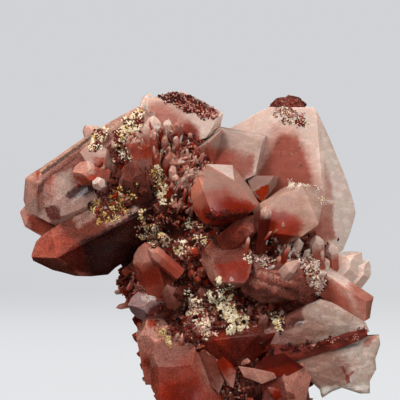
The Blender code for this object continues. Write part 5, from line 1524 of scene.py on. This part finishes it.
def scatter_rubble(surface, matrix):
    """Angular bits of quartz and matrix, half sunk into the bare matrix."""
    dice = random.Random(RUBBLE_SEED)
    shapes = [chunk_shape(dice) for _ in range(CHUNK_SHAPES)]
    piles = {look: Pile() for look in RUBBLE_LOOKS}
    kinds = by_share(RUBBLE_LOOKS)
    for place, normal in bare_places(surface, matrix, RUBBLE_TRIES, RUBBLE_SEED):
        points, faces = dice.choice(shapes)
        size = dice.triangular(*RUBBLE_SIZES)
        turn = Matrix.Rotation(any_turn(dice), 3, "X") @ Matrix.Rotation(any_turn(dice), 3, "Z")
        shape = turn @ Matrix.Diagonal((1.0, *(dice.uniform(*flatness) for flatness in RUBBLE_FLATNESS)))
        centre = place + normal * size * dice.uniform(*RUBBLE_OUT)
        depth = dice.uniform(*RUBBLE_SHADES)
        form = [centre + shape @ point * size for point in points]
        piles[dice.choice(kinds)].drop(form, faces, [(0.0, 0.0, depth)] * len(form))
    settle_quartz(piles, "rubble")


def spray_crusts(surface):
    """Grains of the crust minerals, and glint grains that are partly painted glints, in clumps along strokes
    across the show side.
    """
    dice = random.Random(CRUST_SEED)
    shapes = [grain_shape(dice) for _ in range(GRAIN_SHAPES)]
    piles = {kind: Pile() for kind in GRAINS}
    for stroke in CRUSTS:
        left = 0
        for _ in range(stroke.count):
            if not left:
                left = dice.randint(*CLUMP_GRAINS)
                clump = spot_on(dice, stroke.start, stroke.end, stroke.width)
                kind = dice.choice(stroke.kinds)
            left -= 1
            spot = clump + Vector((dice.gauss(0, CLUMP_SPREAD), dice.gauss(0, CLUMP_SPREAD)))
            place, normal = seen_at(surface, *spot)
            if place is None or place.y > CRUST_DEEPEST:
                continue
            points, faces = shapes[dice.randrange(len(shapes))]
            size = stroke.grain * dice.uniform(*GRAIN_SIZES)
            axis = Vector((dice.random(), dice.random(), dice.random())).normalized()
            spin = Matrix.Rotation(any_turn(dice), 3, axis)
            centre = place + normal * size * GRAIN_OUT
            strays = dice.random() < CLUMP_STRAYS
            pile = piles[dice.choice(stroke.kinds) if strays else kind]
            pile.drop([centre + spin @ point * size for point in points], faces)
    for kind, pile in piles.items():
        pile.settle("crust_" + kind, grain_material("crust_" + kind, *GRAINS[kind]))


# ---------------------------------------------------------------- stage

def backdrop():
    """A pale floor that curves up into a wall all round, far from the specimen. It glows with painted light,
    brighter towards the floor and the right.
    """
    profile = [(FLOOR_RADIUS, 0.0)]
    for step in range(1, CURVE_STEPS + 1):
        angle = math.radians(90 * step / CURVE_STEPS)
        height = CURVE_RADIUS - CURVE_RADIUS * math.cos(angle)
        profile.append((FLOOR_RADIUS + CURVE_RADIUS * math.sin(angle), height))
    profile.append((FLOOR_RADIUS + CURVE_RADIUS, WALL_TOP))
    mesh = bmesh.new()
    turns = [math.tau * k / WALL_SIDES for k in range(WALL_SIDES)]
    rings = [[mesh.verts.new((radius * math.cos(turn), radius * math.sin(turn), height)) for turn in turns]
             for radius, height in profile]
    mesh.faces.new(rings[0])
    for lower, upper in zip(rings, rings[1:]):
        for k in range(WALL_SIDES):
            mesh.faces.new((lower[k], upper[k], upper[(k + 1) % WALL_SIDES], lower[(k + 1) % WALL_SIDES]))
    data = as_data("floor", mesh)
    data.shade_smooth()
    tree = Tree("floor")
    # Painted light: the glow is graded, brighter towards the floor and the right.
    glow_gradient = tree.vector("DOT_PRODUCT", tree.object_place(), PALE_SIDE)
    tree.surface({
        "Emission Color": tree.mix(tree.fade(glow_gradient, -0.2, 0.0), WALL, FLOOR),
        "Emission Strength": FLOOR_GLOW,
        "Base Color": FLOOR_GREY,
        "Roughness": 0.9,
    })
    data.materials.append(tree.material)
    floor = in_scene("floor", data)
    floor.visible_glossy = False
    floor.visible_diffuse = False


def lights():
    """Area lights that are aimed at the specimen's middle. The large ones aren't seen in its gloss."""
    for lamp in LAMPS:
        data = bpy.data.lights.new(lamp.name, "AREA")
        data.shape = "RECTANGLE"
        data.size, data.size_y = lamp.size
        data.energy = lamp.power
        made = in_scene(lamp.name, data)
        made.location = lamp.place
        aim = Vector(LIGHT_TARGET) - Vector(lamp.place)
        made.rotation_euler = aim.to_track_quat("-Z", "Y").to_euler()
        made.visible_glossy = lamp.glossy


def sky():
    """Soft light from all round, brightest towards SKY_SIDE."""
    world = bpy.data.worlds.new("studio")
    bpy.context.scene.world = world
    world.cycles_visibility.glossy = False
    world.use_nodes = True
    nodes = world.node_tree.nodes
    links = world.node_tree.links
    background = nodes["Background"]
    tilt = nodes.new("ShaderNodeVectorMath")
    tilt.operation = "DOT_PRODUCT"
    tilt.inputs[1].default_value = SKY_SIDE
    links.new(nodes.new("ShaderNodeTexCoord").outputs["Generated"], tilt.inputs[0])
    spread = nodes.new("ShaderNodeMapRange")
    spread.interpolation_type = "SMOOTHSTEP"
    for name, value in (("From Min", -0.4), ("From Max", 1.0), ("To Min", SKY_DARK), ("To Max", SKY_BRIGHT)):
        spread.inputs[name].default_value = value
    links.new(tilt.outputs["Value"], spread.inputs["Value"])
    links.new(spread.outputs["Result"], background.inputs["Strength"])
    background.inputs["Color"].default_value = SKY_COLOUR


def camera():
    lens = bpy.data.cameras.new("camera")
    lens.sensor_width = SENSOR
    lens.lens = SENSOR * -CAMERA_PLACE.y / FIELD
    made = in_scene("camera", lens)
    made.location = CAMERA_PLACE * MM
    made.rotation_euler = (math.radians(90), 0, 0)
    bpy.context.scene.camera = made


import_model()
camera()
bpy.context.scene.view_settings.view_transform = "Standard"
matrix = build_matrix()
build_crystals()
build_carved()
build_slabs()
build_shards()
piece("tip_crust", lump_mesh(TIP_CRUST, 4), bpy.data.materials["matrix"])
surface = whole_surface()
plant_shoots(surface)
spread_splinters(surface)
surface = whole_surface()
scatter_rubble(surface, matrix)
grow_druse(surface, matrix)
spray_crusts(surface)
backdrop()
lights()
sky()
